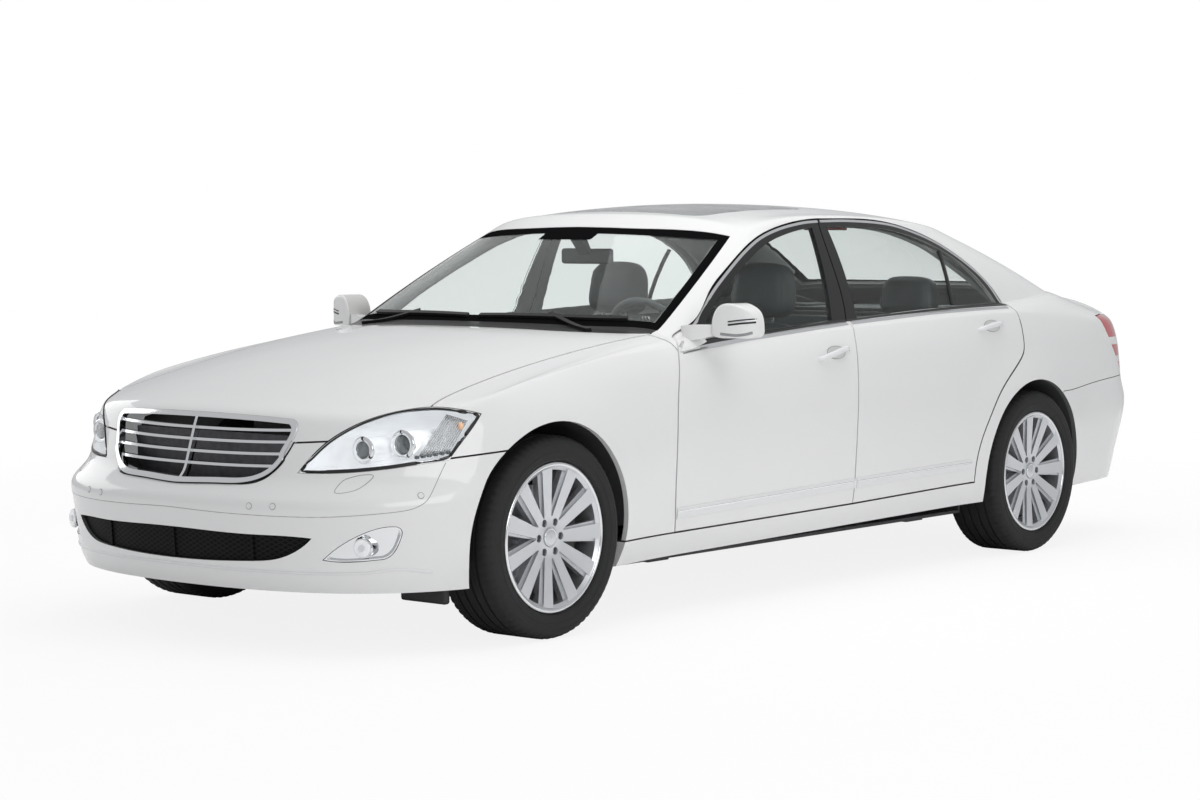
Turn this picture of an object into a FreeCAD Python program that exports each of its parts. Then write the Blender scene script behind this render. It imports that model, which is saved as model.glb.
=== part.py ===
import FreeCAD, Part
import math
import os

Vec = FreeCAD.Vector

# Driving dimensions, in millimetres. X points to the nose, Y to the car's left, Z up from the road.
length = 5206.0
wheelbase = 3165.0
front_overhang = 912.0
nose_x = length / 2
tail_x = -length / 2
front_axle_x = nose_x - front_overhang
rear_axle_x = front_axle_x - wheelbase
side_y = 915.0
arch_radius = 385.0
arch_flare = 24.0
flare_reach = 175.0
wheel_z = 343.0


def between(pairs, t):
    """The value at t of a smooth line through hand-chosen (t, value) pairs."""
    if t <= pairs[0][0]:
        return pairs[0][1]
    for (t0, v0), (t1, v1) in zip(pairs, pairs[1:]):
        if t <= t1:
            return v0 + (v1 - v0) * (t - t0) / (t1 - t0)
    return pairs[-1][1]


def mix(a, b, t):
    return a + (b - a) * t


# The body's control net: one row per column round the left half, from the nose to the tail.
# Columns: sill outline x, y, shoulder z, glass base x, y, z, crown of bonnet or boot, roof edge x, y, z.
fa, ra, nose, tail = front_axle_x, rear_axle_x, nose_x, tail_x
body_columns = [
    (nose + 1, 0, 787, 1105, 0, 1026, 44, 372, 0, 1428),
    (nose + 1, 150, 787, 1105, 120, 1026, 44, 372, 100, 1428),
    (nose - 18, 320, 785, 1086, 280, 1024, 44, 356, 240, 1425),
    (nose - 58, 480, 781, 1056, 420, 1020, 40, 334, 370, 1418),
    (nose - 118, 622, 777, 1018, 560, 1015, 34, 308, 475, 1407),
    (nose - 212, 742, 778, 980, 660, 1010, 28, 284, 545, 1394),
    (nose - 335, 832, 795, 950, 725, 1005, 22, 264, 588, 1383),
    (fa + 400, 882, 818, 928, 762, 1000, 18, 248, 612, 1377),
    (fa + 225, 903, 845, 912, 782, 995, 14, 232, 628, 1376),
    (fa + 60, 912, 872, 898, 794, 991, 11, 212, 638, 1378),
    (fa - 80, 915, 896, 882, 803, 988, 9, 190, 645, 1383),
    (fa - 220, 915, 917, 864, 810, 986, 7, 160, 649, 1389),
    (fa - 380, 913, 934, 840, 816, 984, 4, 125, 652, 1396),
    (fa - 560, 911, 945, 800, 822, 985, 2, 80, 654, 1404),
    (fa - 890, 912, 953, 690, 824, 990, 0, 20, 655, 1412),
    (450, 914, 965, 430, 822, 1001, 0, -80, 655, 1420),
    (50, 915, 981, 50, 820, 1015, 0, -220, 655, 1424),
    (-350, 915, 995, -350, 817, 1028, 0, -360, 655, 1424),
    (-700, 915, 1006, -700, 812, 1040, 0, -500, 655, 1421),
    (-950, 914, 1013, -950, 806, 1047, 0, -620, 654, 1417),
    (ra + 354, 912, 1018, -1120, 802, 1052, 0, -720, 652, 1412),
    (ra + 194, 912, 1022, -1290, 797, 1056, 0, -820, 650, 1405),
    (ra + 20, 912, 1018, -1470, 787, 1063, 8, -920, 647, 1396),
    (ra - 150, 908, 1008, -1650, 772, 1073, 14, -1010, 641, 1386),
    (ra - 320, 900, 998, -1810, 748, 1084, 20, -1090, 629, 1376),
    (ra - 490, 890, 988, -1925, 710, 1093, 24, -1155, 606, 1371),
    (ra - 650, 880, 978, -1985, 645, 1100, 26, -1200, 566, 1374),
    (tail + 313, 870, 968, -2018, 560, 1105, 26, -1232, 500, 1383),
    (tail + 183, 842, 965, -2038, 455, 1110, 22, -1255, 410, 1395),
    (tail + 95, 765, 990, -2050, 340, 1114, 14, -1272, 310, 1404),
    (tail + 42, 630, 1040, -2058, 235, 1117, 7, -1283, 215, 1411),
    (tail + 14, 430, 1070, -2063, 140, 1118, 4, -1290, 130, 1415),
    (tail - 1, 200, 1084, -2065, 60, 1119, 2, -1293, 60, 1417),
    (tail - 1, 0, 1084, -2065, 0, 1119, 2, -1293, 0, 1417),
]
# How far the nose, the tail and the sides stand in from the widest outline, by height.
nose_setback = [(200, 62), (240, 38), (300, 25), (380, 22), (440, 12), (480, 2), (500, 3), (520, 22),
                (545, 62), (565, 90), (600, 100), (680, 125), (740, 143), (787, 167)]
tail_setback = [(240, 130), (300, 105), (400, 75), (470, 40), (540, 10), (600, 0), (640, 8), (690, 40),
                (760, 48), (860, 60), (950, 88), (1010, 125)]
side_inset = [(215, 55), (260, 34), (300, 24), (360, 16), (450, 9), (560, 3), (680, 0), (760, 3),
              (840, 12), (900, 20), (960, 30)]
bottom_height = [(tail, 262), (-1900, 250), (-1000, 240), (1300, 207), (2200, 205), (nose, 205)]
wall_levels = [0, .05, .11, .18, .26, .34, .42, .48, .53, .58, .63, .70, .78, .86, .93, 1.0]
deck_levels = [.10, .3, .55, .8, .95, 1.0]
glass_levels = [.2, .5, .8, .95]
roof_levels = [.12, .35, .6, .85, 1.0]
shoulder_round = 26.0
glass_bulge = 14.0
roof_peak = 1476.0
roof_line = [(-1293, 59), (-1100, 34), (-900, 15), (-700, 4), (-500, 0), (-300, 0), (-100, 4), (100, 16),
             (250, 31), (372, 48)]
roof_drop = 62.0
roof_half = 650.0
crest_front = 20.0
crest_rear = -430.0


def smooth(t):
    t = min(1.0, max(0.0, t))
    return t * t * (3 - 2 * t)


def flare(x, z):
    """How far the skin stands out round the wheel openings."""
    out = 0.0
    for axle in (front_axle_x, rear_axle_x):
        reach = (math.hypot(x - axle, z - wheel_z) - arch_radius) / flare_reach
        out = max(out, arch_flare * (1 - smooth(reach)))
    return out


def wall_point(column, level):
    x, y, top = column[0], column[1], column[2]
    z = mix(between(bottom_height, x), top, level)
    ahead = smooth((x - front_axle_x - 150) / (nose_x - front_axle_x - 450))
    behind = smooth((rear_axle_x - 150 - x) / (rear_axle_x - tail_x - 450))
    set_x = between(nose_setback, z) * ahead - between(tail_setback, z) * behind
    across = min(1.0, y / 800.0)
    near_top = max(0.0, 1 - (top - z) / 110.0)
    inset = (between(side_inset, z) + shoulder_round * near_top ** 2) * across * (1 - .6 * max(ahead, behind))
    return Vec(x - set_x, y - inset + flare(x, z) * across, z)


def roof_height(x, y):
    return roof_peak - between(roof_line, x) - roof_drop * (abs(y) / roof_half) ** 2.3


def skin_net():
    """Control points, rows from the sill up to the roof's crest, columns from the nose to the tail."""
    rows = [[wall_point(c, level) for c in body_columns] for level in wall_levels]
    tops = rows[-1]
    for level in deck_levels:
        row = []
        for c, top in zip(body_columns, tops):
            z = mix(top.z, c[5], level) + c[6] * 4 * level * (1 - level)
            row.append(Vec(mix(top.x, c[3], level), mix(top.y, c[4], level), z))
        rows.append(row)
    for level in glass_levels:
        rise = glass_bulge * 4 * level * (1 - level)
        row = []
        for c in body_columns:
            x, y, z = mix(c[3], c[7], level), mix(c[4], c[8], level), mix(c[5], c[9], level)
            out = Vec(x - mix(crest_front, crest_rear, .5), y * 3.0, 0)
            out.normalize()
            row.append(Vec(x, y, z) + out * rise + Vec(0, 0, rise * .5))
        rows.append(row)
    rows.append([Vec(c[7], c[8], c[9] + 6) for c in body_columns])
    count = len(body_columns) - 1
    for level in roof_levels:
        row = []
        for i, c in enumerate(body_columns):
            x = mix(c[7], mix(crest_front, crest_rear, i / count), level)
            y = c[8] * (1 - level)
            row.append(Vec(x, y, roof_height(x, y)))
        rows.append(row)
    return rows


def clamped(count, degree=3):
    spans = count - degree
    return [i / spans for i in range(spans + 1)], [degree + 1] + [1] * (spans - 1) + [degree + 1]


def net_surface(rows):
    surface = Part.BSplineSurface()
    u_knots, u_mults = clamped(len(rows))
    v_knots, v_mults = clamped(len(rows[0]))
    surface.buildFromPolesMultsKnots(rows, u_mults, v_mults, u_knots, v_knots, False, False, 3, 3)
    return surface
cut_slant = .21
Across = Vec(0, 1, 0)
Up = Vec(0, 0, 1)
Ahead = Vec(1, 0, 0)
from_side = (Vec(-cut_slant, 1, 0), Ahead, Up)
square_side = (Across, Ahead, Up)
from_front = (Ahead, Across, Up)
from_above = (Up, Ahead, Across)
from_front_corner = (Vec(.8, .6, 0), Vec(-.6, .8, 0), Up)
from_rear_corner = (Vec(-.8, .6, 0), Vec(-.6, -.8, 0), Up)
from_screen = (Vec(.5, 0, .866), Across, Vec(-.866, 0, .5))
from_backlight = (Vec(-.35, 0, .937), Across, Vec(.937, 0, .35))


def flat(point, frame):
    """Coordinates of a point seen along the first direction of a frame."""
    along, across, up = frame
    a_dual = up.cross(along)
    b_dual = along.cross(across)
    return point.dot(a_dual) / across.dot(a_dual), point.dot(b_dual) / up.dot(b_dual)


def grown(runs, by):
    """The closed outline made of these runs, moved outward by a distance."""
    ring = [p for run in runs for p in run[:-1]]
    count = len(ring)
    area = sum(ring[i - 1][0] * ring[i][1] - ring[i][0] * ring[i - 1][1] for i in range(count))
    turn = by if area > 0 else -by
    moved = []
    for i in range(count):
        before, here, after = ring[i - 1], ring[i], ring[(i + 1) % count]
        normals = []
        for p, q in ((before, here), (here, after)):
            size = math.hypot(q[0] - p[0], q[1] - p[1])
            normals.append(((q[1] - p[1]) / size, (p[0] - q[0]) / size))
        (ax, ay), (bx, by_) = normals
        share = turn / (1 + ax * bx + ay * by_)
        moved.append((here[0] + (ax + bx) * share, here[1] + (ay + by_) * share))
    out = []
    at = 0
    for run in runs:
        out.append([moved[(at + i) % count] for i in range(len(run))])
        at += len(run) - 1
    return out


def block(runs, frame, start, end, grow=0.0):
    """A block with straight sides seen along the frame's direction. Each run is a line or a smooth curve."""
    along, across, up = frame
    flats = [[flat(Vec(*p), frame) for p in run] for run in runs]
    flats = grown(flats, grow) if grow else flats
    edges = []
    for run in flats:
        points = [across * a + up * b + along * start for a, b in run]
        if len(points) == 2:
            edges.append(Part.makeLine(*points))
        else:
            curve = Part.BSplineCurve()
            curve.interpolate(points)
            edges.append(curve.toShape())
    return Part.Face(Part.Wire(edges)).extrude(along * (end - start))


def side(points, y=900):
    return [(x, y, z) for x, z in points]


def front(points):
    return [(0, y, z) for y, z in points]


def plan(points):
    return [(x, y, 0) for x, y in points]


def greville(i, count, degree=3):
    spans = count - degree
    knots = [0] * (degree + 1) + [j / spans for j in range(1, spans)] + [1] * (degree + 1)
    return sum(knots[i + 1:i + 1 + degree]) / degree


blend_weights = [1, 2, 3, 2, 1]


def inset_net(rows, depth):
    """The control net moved inward, with directions averaged over nearby rows, so that no corner folds."""
    surface = net_surface(rows)
    last = len(rows) - 1
    normals = []
    for i, row in enumerate(rows):
        line = []
        for j, p in enumerate(row):
            normal = Vec(0, 0, 1)
            if i < last:
                normal = surface.normal(greville(i, len(rows)), greville(j, len(row)))
            if normal.dot(Vec(p.x * .2, p.y, p.z - 500)) < 0:
                normal = normal * -1
            if j in (0, len(row) - 1):
                normal = Vec(normal.x, 0, normal.z)
                normal.normalize()
            line.append(normal)
        normals.append(line)
    out = []
    for i, row in enumerate(rows):
        moved = []
        for j, p in enumerate(row):
            direction = Vec(0, 0, 0)
            for step, weight in enumerate(blend_weights):
                direction += normals[min(last, max(0, i + step - 2))][j] * weight
            if i == last:
                direction.y = 0
            moved.append(p - direction * (depth / sum(blend_weights)))
        out.append(moved)
    return out


drop_below = 180.0


def left_solid(depth):
    """The left half of the body as a solid, its skin moved inward by a depth."""
    rows = inset_net(skin_rows, depth) if depth else skin_rows
    if depth:
        rows = [[Vec(p.x, p.y, p.z - drop_below) for p in rows[0]]] + rows
    surface = net_surface(rows)
    under = Part.BSplineSurface()
    knots, mults = clamped(len(rows[0]))
    middle_row = [Vec(p.x, 0, p.z) for p in rows[0]]
    under.buildFromPolesMultsKnots([rows[0], middle_row], [2, 2], mults, [0, 1], knots, False, False, 1, 3)
    rim = [surface.vIso(0), surface.vIso(1), surface.uIso(1), under.uIso(1)]
    wall = Part.Face(Part.Wire(Part.__sortEdges__([c.toShape() for c in rim])))
    shell = Part.makeShell([surface.toShape(), under.toShape(), wall])
    shell.sewShape()
    solid = Part.makeSolid(shell)
    if solid.Volume < 0:
        solid.reverse()
    return solid


def mirrored(shape):
    return shape.mirror(Vec(0, 0, 0), Across)


def whole(shape):
    """A left half joined to its mirror image."""
    return shape.fuse(mirrored(shape)).removeSplitter()


def both(shape):
    """A left piece and its mirror image, apart from each other."""
    return Part.makeCompound([shape, mirrored(shape)])


def largest(shape):
    return max(shape.Solids, key=lambda s: s.Volume)


def box(x0, x1, y0, y1, z0, z1):
    return Part.makeBox(x1 - x0, y1 - y0, z1 - z0, Vec(x0, y0, z0))


def rod(radius, start, end):
    a, b = Vec(*start), Vec(*end)
    return Part.makeCylinder(radius, (b - a).Length, a, b - a)


def write(name, shape):
    shape.exportStep("parts/" + name + ".step")


os.makedirs("parts", exist_ok=True)
skin_rows = skin_net()
skin = left_solid(0)
skin_proud = left_solid(-7)
shell_thick = 20.0
skin_shell = left_solid(shell_thick)
skin_behind = left_solid(shell_thick + 6)
band = skin.cut(skin_shell)

# Shut lines, as points lying on the skin (x, y, z).
gap = 6.0
door_gap = 7.0
far_out = 1100.0
# Where the cutting blocks start and end along their direction, well clear of the skin on both sides.
nose_from, nose_to = 2000, 2800
tail_from, tail_to = -2800, -1800
corner_from, corner_to = 1500, 3200
door_from = 400
lid_from, lid_to = 400, 1300
roof_from, roof_to = 1200, 1600
screen_from, screen_to = 900, 2600


def layer(near, far):
    """The part of the body between two depths under its skin."""
    return left_solid(near).cut(left_solid(far))


def through_nose(runs, grow=0.0):
    return block(runs, from_front, nose_from, nose_to, grow)


def through_corner(runs, grow=0.0, reach=0):
    return block(runs, from_front_corner, corner_from - reach, corner_to + reach, grow)


def through_door(runs, grow=0.0):
    return block(runs, from_side, door_from, far_out, grow)


def through_lid(grow):
    """What the boot lid's outline takes in, seen from above and from behind."""
    return block(lid_plan, from_above, lid_from, lid_to, grow).common(
        block(lid_rear, from_front, tail_from, tail_to, grow))


def through_roof(grow=0.0):
    return block(roof_open, from_above, roof_from, roof_to, grow)


a_rail = [(949, 868, 936), (941, 861, 949), (781, 798, 1033), (628, 759, 1136), (481, 727, 1220),
          (337, 699, 1292), (206, 681, 1346), (65, 671, 1382), (-89, 665, 1404), (-204, 666, 1411)]
b_shut = [(-204, 666, 1411), (-188, 763, 1194), (-176, 831, 1013), (-158, 872, 950), (-138, 904, 831),
          (-124, 914, 638), (-122, 908, 481), (-122, 893, 311)]
c_rail = [(-204, 666, 1411), (-418, 663, 1412), (-669, 663, 1401), (-844, 671, 1373), (-1027, 691, 1320),
          (-1189, 725, 1243), (-1316, 761, 1154), (-1408, 826, 1046)]
rear_door_back = [(-1408, 826, 1046), (-1420, 862, 1005), (-1416, 888, 921), (-1400, 900, 862),
                  (-1356, 908, 822), (-1261, 917, 762), (-1171, 922, 692), (-1103, 924, 612),
                  (-1051, 922, 535), (-1018, 916, 460), (-1004, 905, 330)]
door_front = [(998, 886, 297), (1014, 903, 452), (1014, 910, 594), (1004, 907, 770), (949, 868, 936)]
front_door_line = [a_rail, b_shut, [b_shut[-1], door_front[0]], door_front]
rear_door_line = [c_rail, rear_door_back, [rear_door_back[-1], b_shut[-1]], b_shut[::-1]]
belt = [(938, 868, 936), (602, 857, 964), (376, 852, 977), (-163, 838, 1007), (-767, 828, 1030),
        (-1390, 830, 1042)]


def belt_height(x):
    return between([(b[0], b[2]) for b in reversed(belt)], x)


front_glass_line = [
    [(760, 800, 1003), (628, 750, 1103), (481, 718, 1188), (337, 690, 1260), (206, 672, 1314),
     (65, 662, 1350), (-60, 657, 1370), (-139, 656, 1377)],
    [(-139, 656, 1377), (-82, 822, 1020)],
    [(-82, 822, 1020), (376, 852, 990), (760, 800, 972)],
    [(760, 800, 972), (760, 800, 1003)]]
rear_glass_line = [
    [(-245, 673, 1383), (-418, 654, 1382), (-669, 654, 1370), (-844, 662, 1342), (-1027, 680, 1288),
     (-1189, 714, 1208), (-1290, 750, 1125), (-1342, 780, 1060)],
    [(-1342, 780, 1060), (-767, 828, 1045), (-256, 825, 1024)],
    [(-256, 825, 1024), (-245, 673, 1383)]]
hood_side = [(960, 752, 0), (1050, 750, 0), (1200, 742, 0), (1400, 735, 0), (1600, 730, 0), (1800, 728, 0),
             (1960, 732, 0), (2036, 737, 0), (2127, 757, 0), (2165, 780, 0)]
hood_back = [(1222, -60, 0), (1222, 0, 0), (1219, 100, 0), (1206, 253, 0), (1180, 400, 0), (1120, 560, 0),
             (1040, 680, 0), (960, 752, 0)]
hood_line = [hood_back, hood_side, [(2165, 780, 0), (2700, 780, 0)], [(2700, 780, 0), (2700, -60, 0)],
             [(2700, -60, 0), (1222, -60, 0)]]
lamp_line = [
    [(2447, 471, 590), (2420, 502, 640), (2390, 542, 687), (2353, 592, 727), (2295, 650, 763),
     (2204, 706, 787), (2137, 764, 796), (2078, 829, 790), (2010, 867, 773)],
    [(2010, 867, 773), (2041, 865, 738), (2090, 853, 684), (2134, 840, 631)],
    [(2134, 840, 631), (2243, 770, 615), (2318, 702, 603), (2389, 604, 593), (2447, 471, 590)]]
bumper_top = [
    [(2600, -60, 537), (2556, 0, 537)],
    [(2556, 0, 537), (2533, 215, 546), (2487, 364, 569), (2456, 406, 621), (2431, 434, 680)],
    [(2431, 434, 680), (2390, 542, 687)],
    [(2390, 542, 687), (2420, 502, 640), (2447, 471, 590)],
    [(2447, 471, 590), (2389, 604, 593), (2318, 702, 603), (2243, 770, 615), (2134, 840, 631)],
    [(2134, 840, 631), (1931, 916, 648)],
    [(1931, 916, 648), (1600, 916, 648)],
    [(1600, 916, 648), (1600, 916, 0)],
    [(1600, 916, 0), (2600, -60, 0)],
    [(2600, -60, 0), (2600, -60, 537)]]
fender_line = [door_front, [(949, 868, 936), (958, 900, 1010)], side([(958, 1010), (958, 1200)]),
               side([(958, 1200), (2700, 1200)]), side([(2700, 1200), (2700, 150)]),
               side([(2700, 150), (1450, 150)]), side([(1450, 150), (1400, 293)]),
               [(1400, 900, 293), (998, 886, 297)]]
fender_plan = [hood_side, plan([(2165, 780), (2300, 1100)]), plan([(2300, 1100), (900, 1100)]),
               plan([(900, 1100), (900, 752)]), plan([(900, 752), (960, 752)])]
screen_line = [
    [(1108, -40, 1026), (1108, 40, 1026), (1098, 200, 1025), (1062, 400, 1022), (1010, 560, 1014),
     (944, 700, 1008), (926, 752, 1006)],
    [(926, 752, 1006), (770, 728, 1092), (612, 697, 1187), (460, 662, 1270), (318, 624, 1348)],
    [(318, 624, 1348), (339, 587, 1357), (400, 440, 1369), (445, 285, 1376), (466, 100, 1380),
     (466, -40, 1380)],
    [(466, -40, 1380), (1108, -40, 1026)]]
backlight_line = [
    [(-1345, -40, 1407), (-1345, 0, 1407), (-1338, 200, 1402), (-1312, 380, 1394), (-1282, 480, 1380)],
    [(-1282, 480, 1380), (-1600, 560, 1255), (-1930, 615, 1112)],
    [(-1930, 615, 1112), (-1985, 400, 1118), (-2015, 200, 1122), (-2022, 0, 1124), (-2022, -40, 1124)],
    [(-2022, -40, 1124), (-1345, -40, 1407)]]
roof_line_front, roof_line_rear, roof_half_open, roof_corner = 262.0, -470.0, 425.0, 70.0
roof_open = [
    plan([(roof_line_front + 14, -60), (roof_line_front + 12, 120), (roof_line_front, roof_half_open - 70)]),
    plan([(roof_line_front, roof_half_open - 70), (roof_line_front - 22, roof_half_open - 20),
          (roof_line_front - 70, roof_half_open)]),
    plan([(roof_line_front - 70, roof_half_open), (roof_line_rear + 70, roof_half_open)]),
    plan([(roof_line_rear + 70, roof_half_open), (roof_line_rear + 20, roof_half_open - 22),
          (roof_line_rear, roof_half_open - 70)]),
    plan([(roof_line_rear, roof_half_open - 70), (roof_line_rear, -60)]),
    plan([(roof_line_rear, -60), (roof_line_front + 14, -60)])]
lid_plan = [
    plan([(-2052, -60), (-2052, 0), (-2046, 200), (-2024, 400), (-1985, 560), (-1960, 640)]),
    plan([(-1960, 640), (-1962, 690), (-1990, 712)]),
    plan([(-1990, 712), (-2120, 716), (-2260, 714), (-2420, 700)]),
    plan([(-2420, 700), (-2800, 690)]),
    plan([(-2800, 690), (-2800, -60)]),
    plan([(-2800, -60), (-2052, -60)])]
lid_rear = [
    front([(-60, 745), (440, 745)]),
    front([(440, 745), (500, 752), (545, 790), (600, 870)]),
    front([(600, 870), (660, 950), (694, 985)]),
    front([(694, 985), (760, 1400)]), front([(760, 1400), (-60, 1400)]), front([(-60, 1400), (-60, 745)])]
tail_lamp_line = [
    [(-2160, 842, 985), (-2178, 851, 946), (-2225, 858, 879), (-2274, 856, 820), (-2360, 835, 738)],
    [(-2360, 835, 738), (-2480, 730, 728), (-2545, 600, 728), (-2575, 448, 732)],
    [(-2575, 448, 732), (-2573, 500, 748), (-2560, 550, 790), (-2530, 605, 870)],
    [(-2530, 605, 870), (-2480, 665, 950), (-2440, 700, 985)],
    [(-2440, 700, 985), (-2300, 790, 990), (-2160, 842, 985)]]
rear_bumper_line = [
    side([(-1700, 674), (-1845, 679), (-2049, 697), (-2379, 715), (-2560, 719)]),
    side([(-2560, 719), (-2800, 719)]),
    side([(-2800, 719), (-2800, 100)]),
    side([(-2800, 100), (-1600, 100)]),
    side([(-1600, 100), (-1600, 500)]),
    side([(-1600, 500), (-1700, 674)])]

sail_line = [
    [(940, 868, 938), (852, 835, 990), (790, 806, 1027)],
    [(790, 806, 1027), (768, 806, 968)],
    [(768, 806, 968), (856, 850, 948), (940, 868, 938)]]
front_door_block = through_door(front_door_line, -door_gap / 2)
rear_door_block = through_door(rear_door_line, -door_gap / 2)
front_door_hole = through_door(front_door_line, door_gap / 2)
rear_door_hole = through_door(rear_door_line, door_gap / 2)
arches = [rod(arch_radius + 7, (axle, 560, wheel_z), (axle, far_out, wheel_z)) for axle in
          (front_axle_x, rear_axle_x)]
lamp_hole_gap = 2.5
lamp_hole = through_corner(lamp_line, lamp_hole_gap)
bumper_zone = block(bumper_top, from_front_corner, 1000, 3200)
bumper_hole = block(bumper_top, from_front_corner, 1000, 3200, gap)
hood_zone = block(hood_line, from_above, 500, 1300, -gap / 2)
hood_hole = block(hood_line, from_above, 500, 1300, gap / 2)

# Bonnet, with the opening for the grille that it carries.
grille_open = [
    [(2455, -60, 752), (2455, 0, 752), (2440, 210, 750), (2416, 404, 742)],
    [(2416, 404, 742), (2422, 416, 730), (2436, 408, 686), (2456, 394, 636)],
    [(2456, 394, 636), (2480, 345, 587), (2513, 197, 564), (2534, 0, 557), (2534, -60, 557)],
    [(2534, -60, 557), (2455, -60, 752)]]
grille_frame = 16.0
grille_fit = .3
grille_ring = through_nose(grille_open, grille_frame - grille_fit).cut(
    block(grille_open, from_front, nose_from - 100, nose_to + 100))
grille_hole = through_nose(grille_open, grille_frame)
hood_half = largest(band.common(hood_zone).cut([bumper_hole, lamp_hole, grille_hole]))
hood = whole(hood_half)
write("hood", hood)

bar_heights = [712, 674, 636, 597]
bar_thick = 9.0
grille_parts = [skin_proud.cut(skin_shell).common(grille_ring)]
bar_band = layer(6, 26)
bar_root = 2.0
grille_space = through_nose(grille_open, bar_root)
post_half = 6.0
for z in bar_heights:
    bow = [(0, -60, z), (0, 0, z), (0, 200, z + 1), (0, 420, z + 6)]
    top = [(x, y, zz + bar_thick) for x, y, zz in reversed(bow)]
    bar = through_nose([bow, [bow[-1], top[0]], top, [top[-1], bow[0]]])
    grille_parts.append(bar_band.common(grille_space).common(bar))
middle_post = box(nose_from, nose_to, -10, post_half, 400, 900)
grille_parts.append(left_solid(-2).cut(skin_shell).common(grille_space).common(middle_post))
grille_parts.append(left_solid(27).cut(left_solid(shell_thick + 2)).common(grille_space))
grille_half = grille_parts[0].fuse(grille_parts[1:])
grille = whole(grille_half)
write("grille", grille)

# Front bumper: the lower mesh opening and the fog lamp openings go right through it.
intake_open = [
    [(2585, -60, 396), (2585, 71, 396), (2554, 355, 391), (2500, 530, 389), (2485, 566, 386)],
    [(2485, 566, 386), (2504, 513, 342), (2522, 456, 317), (2547, 354, 303), (2576, 71, 292),
     (2576, -60, 291)],
    [(2576, -60, 291), (2585, -60, 396)]]
fog_open = [
    [(2465, 593, 316), (2438, 644, 363), (2395, 706, 404), (2353, 750, 423), (2316, 780, 425)],
    [(2316, 780, 425), (2302, 791, 410), (2302, 784, 380), (2320, 767, 335), (2342, 746, 318)],
    [(2342, 746, 318), (2383, 706, 313), (2446, 624, 311), (2465, 593, 316)]]
intake_hole = through_nose(intake_open)
fog_hole = through_corner(fog_open)
grille_way = through_nose(grille_open, grille_frame + 5)
bumper_half = largest(band.common(bumper_zone).cut([intake_hole, fog_hole, lamp_hole, arches[0], grille_way]))
front_bumper = whole(bumper_half)
write("front_bumper", front_bumper)
insert_fit = .4
post_width = 26.0
intake_slot = through_nose(intake_open, -insert_fit)
mesh_plate = layer(14, 24).common(intake_slot)
mesh_posts = [layer(8, 30).common(intake_slot).common(box(nose_from, nose_to, y, y + post_width, 200, 500))
              for y in (-post_width / 2, 330)]
write("lower_grille", whole(mesh_plate.fuse(mesh_posts)))

# Fog lamps: bright bezel, round lamp.
bezel_wall = 6.0
fog_slot = through_corner(fog_open, -insert_fit)
fog_bezel = layer(2, 30).common(fog_slot).cut(
    layer(-5, 20).common(through_corner(fog_open, -bezel_wall)))
write("fog_lamps", both(fog_bezel.fuse(rod(30, (2330, 692, 357), (2392, 706, 357)))))

# Front wings.
def wing_side(grow):
    return block(fender_line, from_side, door_from + 100, far_out, grow)


def wing_top(grow):
    return block(fender_plan, from_above, 100, lid_to, grow)


fender_zone = band.common(wing_side(-gap / 2)).common(wing_top(-gap / 2))
fender_half = largest(fender_zone.cut([bumper_hole, lamp_hole, arches[0], front_door_hole]))
write("front_wings", both(fender_half))

# Headlamps: a tray with the two round projectors, and the clear cover.
lamp_fit = 1.5
cover_thick = 4.0
tray_wall = 5.5
tray_deep = 100.0
seat_clear = .3
lamp_cover = skin.cut(left_solid(cover_thick)).common(through_corner(lamp_line, -lamp_fit))
tray_outer = layer(cover_thick + seat_clear, tray_deep).common(through_corner(lamp_line, -lamp_fit))
tray_space = through_corner(lamp_line, -lamp_fit - tray_wall, reach=100)
tray_inner = layer(0, 92).common(tray_space)
projectors = []
for x, y, z, r in ((2330, 640, 663, 40), (2246, 736, 680, 44)):
    projectors.append(rod(r, (x - 110, y, z), (x - 18, y, z)).cut(rod(r - 6, (x - 30, y, z), (x, y, z))))
    ball = Part.makeSphere(r - 8, Vec(x - 48, y, z))
    projectors.append(ball)
flange_zone = box(nose_from, nose_to, 400, 1000, 560, 640)
lamp_flange = layer(6, 20).common(through_corner(lamp_line, lamp_hole_gap - seat_clear)).common(
    flange_zone).cut(tray_space)
tray = tray_outer.cut(tray_inner).fuse(lamp_flange)
units = tray.fuse([p.common(tray_outer) for p in projectors])
write("headlamps", both(units))
write("headlamp_covers", both(lamp_cover))

# Boot lid, tail lamps and rear bumper.
lid_hole = through_lid(gap / 2)
lid_half = largest(band.common(through_lid(-gap / 2)))
boot_lid = whole(lid_half)
write("boot_lid", boot_lid)
tail_lamp_hole = block(tail_lamp_line, from_rear_corner, corner_from, corner_to, 2)
lamp_body = block(tail_lamp_line, from_rear_corner, corner_from, corner_to, -1)
tail_lamp = skin.cut(left_solid(30)).common(lamp_body).cut(lid_hole)
write("tail_lamps", both(largest(tail_lamp)))
rear_zone = block(rear_bumper_line, square_side, -100, far_out, -gap / 4)
rear_hole = block(rear_bumper_line, square_side, -100, far_out, gap / 4)
rear_bumper_half = largest(band.common(rear_zone).cut([arches[1], tail_lamp_hole]))
write("rear_bumper", whole(rear_bumper_half))

# Doors: an outer panel with the window frame, and behind it the thick lower part with the lock and the trim.
plug_inset = 48.0
plug_face = 782.0
plug_top = 52.0


def door(block_, line, glass, x0, x1):
    core = block(line, from_side, plug_face, 1000, -plug_inset).common(
        block([side([(x0, 150), (x1, 150)]), side([(x1, 150), (x1, belt_height(x1) - plug_top)]),
               side([(x1, belt_height(x1) - plug_top), (x0, belt_height(x0) - plug_top)]),
               side([(x0, belt_height(x0) - plug_top), (x0, 150)])], square_side, 700, 1000))
    hollow = skin_shell.cut(core)
    window = through_door(glass)
    return skin.common(block_).cut(hollow).cut(window)


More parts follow.
